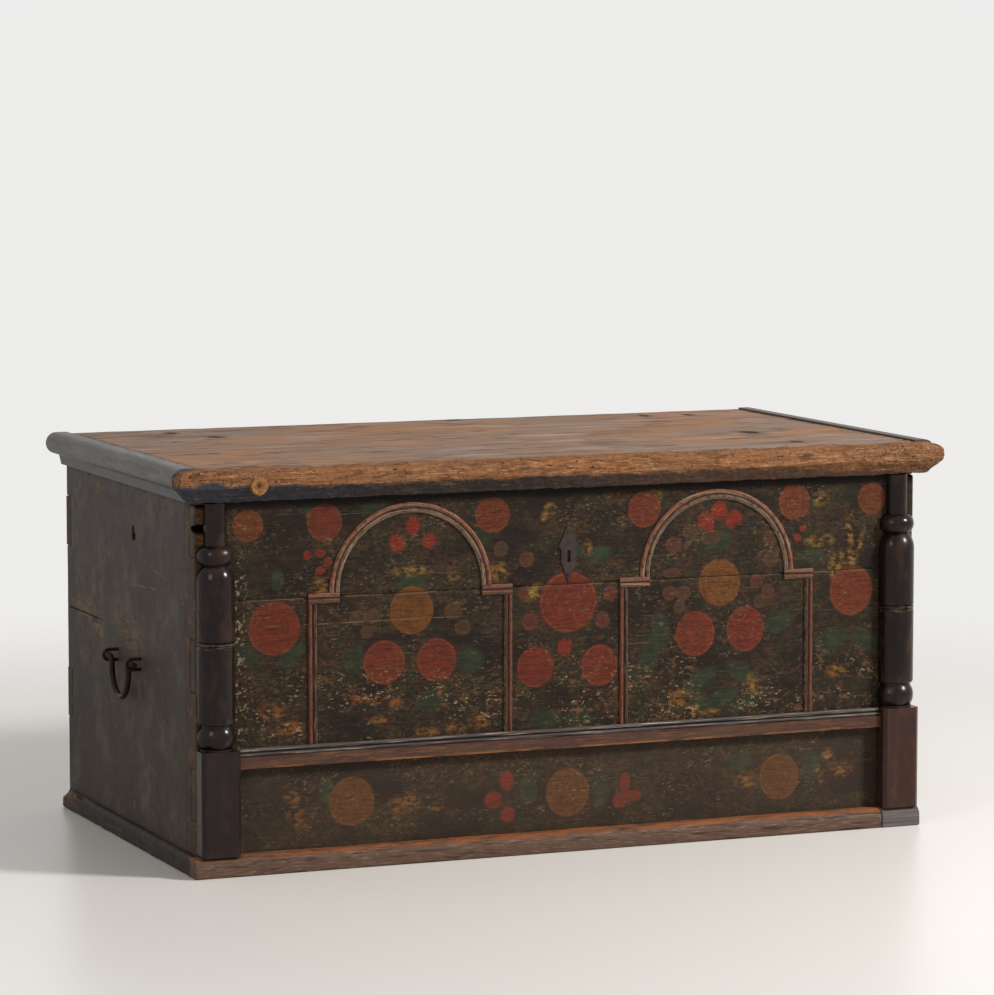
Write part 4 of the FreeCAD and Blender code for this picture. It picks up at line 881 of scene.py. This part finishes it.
WORN = (
    (("lid_front_edge",), 1.7, ((26, 3.6), (7, 2.0), (4, 1.0))),
    (("lid_plank_front",), 3.6, ((60, 1.0),)),
    (("lid_plank_middle",), 3.6, ((60, 1.0),)),
    (("lid_plank_back",), 3.6, ((60, 1.0),)),
    (("base_moulding_front",), 2.4, ((40, 1.6), (9, 0.9))),
    (("base_corner_patch",), 1.6, ((16, 1.0),)),
    (("base_moulding_left",), 2.2, ((30, 2.0), (9, 1.2))),
    (("front_top_board",), 2.8, ((80, 0.5),)),
    (("front_middle_board",), 3.2, ((80, 0.5),)),
    (("front_frieze_board",), 2.8, ((80, 0.5),)),
    (("left_side_upper_board", "left_side_lower_board"), 2.9, ((70, 0.9),)),
    (("right_side_upper_board", "right_side_lower_board"), 3.6, ((70, 0.9),)),
)
worn = {parts[0]: worn_copy(parts, voxel, dents) for parts, voxel, dents in WORN}

# %% [markdown]
# Some damage is deeper than a dent. The left end has a knot hole and an opened joint, the corner of
# the top board is broken out beside the column, and the left base strip is chipped and broken off
# short at its back end. Each is cut by a lump: a sphere, pulled to size, roughened, and taken away.

# %% Holes and breaks
def carve(piece, name, centre, half_sizes, rough):
    """Take a rough lump out of a worn piece; centre and half sizes are in millimetres."""
    bpy.ops.object.select_all(action="DESELECT")
    bpy.ops.mesh.primitive_ico_sphere_add(subdivisions=4, radius=1.0)
    lump = bpy.context.active_object
    lump.scale = [half / 1000 for half in half_sizes]
    lump.location = [value / 1000 for value in centre]
    bpy.ops.object.transform_apply(location=True, rotation=True, scale=True)
    cloud = bpy.data.textures.new(name, "CLOUDS")
    cloud.noise_scale = 0.006
    ragged = lump.modifiers.new("ragged", "DISPLACE")
    ragged.texture = cloud
    ragged.strength = rough / 1000
    bpy.ops.object.modifier_apply(modifier=ragged.name)
    bpy.ops.object.select_all(action="DESELECT")
    piece.select_set(True)
    bpy.context.view_layer.objects.active = piece
    taken = piece.modifiers.new("taken", "BOOLEAN")
    taken.operation = "DIFFERENCE"
    taken.solver = "EXACT"
    taken.object = lump
    bpy.ops.object.modifier_apply(modifier=taken.name)
    bpy.data.objects.remove(lump, do_unlink=True)
    print("carved", name, "faces", len(piece.data.polygons))


carve(worn["left_side_upper_board"], "knot_hole", KNOT_HOLE, (14, 9, 7), 1.5)
carve(worn["left_side_upper_board"], "knot_hole_top", (-575, -14, 470), (12, 6, 7), 1.5)
carve(worn["left_side_upper_board"], "open_joint", (-575.5, 245, 316), (4, 90, 1.2), 0.8)
carve(worn["left_side_upper_board"], "joint_break", (-576, 172, 311), (5, 24, 4), 2.0)
carve(worn["front_top_board"], "corner_break", CORNER_BREAK, (24, 24, 7), 3.0)
carve(worn["base_moulding_left"], "strip_break", (-590, 334, 30), (16, 46, 15), 6.0)
carve(worn["base_moulding_left"], "strip_chip", (-583, 236, 29), (6, 24, 5), 3.0)

# %% [markdown]
# Each front board passes through the ends of the trunk in a tongue. The tongue's end was painted
# with the end, so the faces there take that paint, and the front takes the flowers. Marks come
# last, because cutting and remeshing make new points.

# %% Flowers, tongue ends, scrapes and knots
for node in ("front_top_board", "front_middle_board", "front_frieze_board"):
    board = worn[node]
    mark(board, FRONT_MARKS, 0, 2)
    mark(board, LEFT_END_MARKS, 1, 2)
    board.data.materials.append(end_paint)
    for face in board.data.polygons:
        face.material_index = int(abs(face.center.x) * 1000 > END_FACE - 1.5)
for side, marks in (("left", LEFT_END_MARKS), ("right", RIGHT_END_MARKS)):
    mark(worn[side + "_side_upper_board"], marks, 1, 2)
for part in ("front", "middle", "back"):
    mark(worn[f"lid_plank_{part}"], LID_MARKS, 0, 1)
print("marked the front, the ends and the lid")

# %% [markdown]
# One knot stands out of the lid's front edge near the left end. It is drawn as a disc, pulled out
# to a low boss, and its heart is pushed back in, because hearts of knots dry out and sink.

# %% The knot in the lid edge
# In metres: the knot's radius, how far its disc starts inside the edge, and how far it is pulled out.
KNOT_RADIUS, KNOT_ROOT, KNOT_PULL = 0.0135, 0.004, 0.0052
bpy.ops.object.select_all(action="DESELECT")
bpy.ops.mesh.primitive_circle_add(vertices=28, radius=KNOT_RADIUS, fill_type="NGON",
                                  location=[value / 1000 for value in EDGE_KNOT],
                                  rotation=(math.pi / 2, 0, 0))
knot = bpy.context.active_object
knot.name = "edge_knot"
bpy.ops.object.transform_apply(location=True, rotation=True, scale=True)
bpy.ops.object.mode_set(mode="EDIT")
bpy.ops.mesh.select_all(action="SELECT")
bpy.ops.transform.translate(value=(0, KNOT_ROOT, 0))
bpy.ops.mesh.extrude_region_move(TRANSFORM_OT_translate={"value": (0, -KNOT_PULL, 0)})
bpy.ops.mesh.inset(thickness=0.0022)
bpy.ops.transform.translate(value=(0, -0.0012, 0))
bpy.ops.mesh.inset(thickness=0.0045)
bpy.ops.transform.translate(value=(0, 0.0010, 0))
bpy.ops.mesh.inset(thickness=0.0025)
bpy.ops.transform.translate(value=(0, 0.0005, 0))
bpy.ops.mesh.select_all(action="SELECT")
bpy.ops.mesh.normals_make_consistent(inside=False)
bpy.ops.object.mode_set(mode="OBJECT")
smooth = knot.modifiers.new("smooth", "SUBSURF")
smooth.levels = smooth.render_levels = 2
bpy.ops.object.modifier_apply(modifier=smooth.name)
grain = bpy.data.textures.new("knot_grain", "CLOUDS")
grain.noise_scale = 0.005
rough = knot.modifiers.new("rough", "DISPLACE")
rough.texture = grain
rough.strength = 0.0015
bpy.ops.object.modifier_apply(modifier=rough.name)
bpy.ops.object.shade_smooth()
knot.data.materials.append(raised_knot)
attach(knot, "lid")
print("knot faces", len(knot.data.polygons))

# %% [markdown]
# The camera stands where the photographer stood: low, to the left of the middle and far off with
# a long lens, which keeps the upright edges parallel. Its place and the length of the lens were
# fitted to corners of the trunk in the photo, for a sensor 36 mm wide.

# %% Camera
def look_at(thing, target):
    thing.rotation_mode = "QUATERNION"
    thing.rotation_quaternion = (Vector(target) - thing.location).to_track_quat("-Z", "Y")


LENS_MM, SENSOR_MM = 159.2, 36.0
CAMERA_PLACE, LOOKED_AT = (-2.5472, -6.2112, 1.2051), (0.0055, -0.022, 0.4952)
lens = bpy.data.cameras.new("long_lens")
lens.lens = LENS_MM
lens.sensor_width = SENSOR_MM
lens.clip_end = 100.0
camera = bpy.data.objects.new("camera", lens)
bpy.context.scene.collection.objects.link(camera)
camera.location = CAMERA_PLACE
look_at(camera, LOOKED_AT)
bpy.context.scene.camera = camera
print("camera at", [round(v, 2) for v in camera.location])

# %% [markdown]
# The trunk stands on a pale floor in soft light from a wide lamp at the right and a weaker one at
# the left. The floor fades into a white surround, so it has no edge from any side, and keeps the
# shadow near the trunk. The surround is white to the eye but lights the trunk less than that.

# %% Floor
bpy.ops.object.select_all(action="DESELECT")
bpy.ops.mesh.primitive_plane_add(size=12, location=(0, 0, -0.0005))
floor = bpy.context.active_object
floor.name = "floor"
floor_paint = bpy.data.materials.new("pale_painted_floor")
floor_paint.use_nodes = True
tree = floor_paint.node_tree
shader = tree.nodes["Principled BSDF"]
shader.inputs["Base Color"].default_value = linear("#ebe6df")
shader.inputs["Roughness"].default_value = 0.34
place = add(tree, "TexCoord").outputs["Object"]
far = add(tree, "VectorMath", {0: place}, operation="LENGTH")
fade = add(tree, "MapRange", {"Value": far, "From Min": 1.0, "From Max": 2.6},
           interpolation_type="SMOOTHSTEP")
clear = add(tree, "BsdfTransparent")
faded = add(tree, "MixShader", {0: fade, 1: shader, 2: clear})
tree.links.new(faded.outputs[0], tree.nodes["Material Output"].inputs["Surface"])
floor.data.materials.append(floor_paint)
print("floor laid")


# %% [markdown]
# Soft light could come from the surround alone, but the turned columns need small bright shapes to
# mirror. So one lamp at the right does most of the work, and a weak wide one opens the left end.

# %% Lamps and surround
def lamp(name, location, target, size, power):
    light = bpy.data.lights.new(name, "AREA")
    light.shape = "RECTANGLE"
    light.size, light.size_y = size
    light.energy = power
    thing = bpy.data.objects.new(name, light)
    bpy.context.scene.collection.objects.link(thing)
    thing.location = location
    look_at(thing, target)


TRUNK_MIDDLE = (0, 0, 0.3)
lamp("window_right", (3.3, -2.9, 2.9), TRUNK_MIDDLE, size=(0.8, 0.8), power=280)
lamp("window_left", (-3.6, -3.0, 2.4), TRUNK_MIDDLE, size=(1.2, 1.8), power=40)
world = bpy.data.worlds.new("studio")
bpy.context.scene.world = world
world.use_nodes = True
tree = world.node_tree
ray = add(tree, "LightPath")
seen = maths(tree, "MAXIMUM", ray.outputs["Is Camera Ray"], ray.outputs["Is Glossy Ray"])
seen = maths(tree, "MAXIMUM", seen, ray.outputs["Is Transmission Ray"])
level = ramp(tree, seen, 0, 1, 0.36, 0.85)
tree.links.new(level.outputs[0], tree.nodes["Background"].inputs["Strength"])
tree.nodes["Background"].inputs["Color"].default_value = linear("#fffefd")
bpy.context.scene.view_settings.view_transform = "Standard"
print("lamps set")
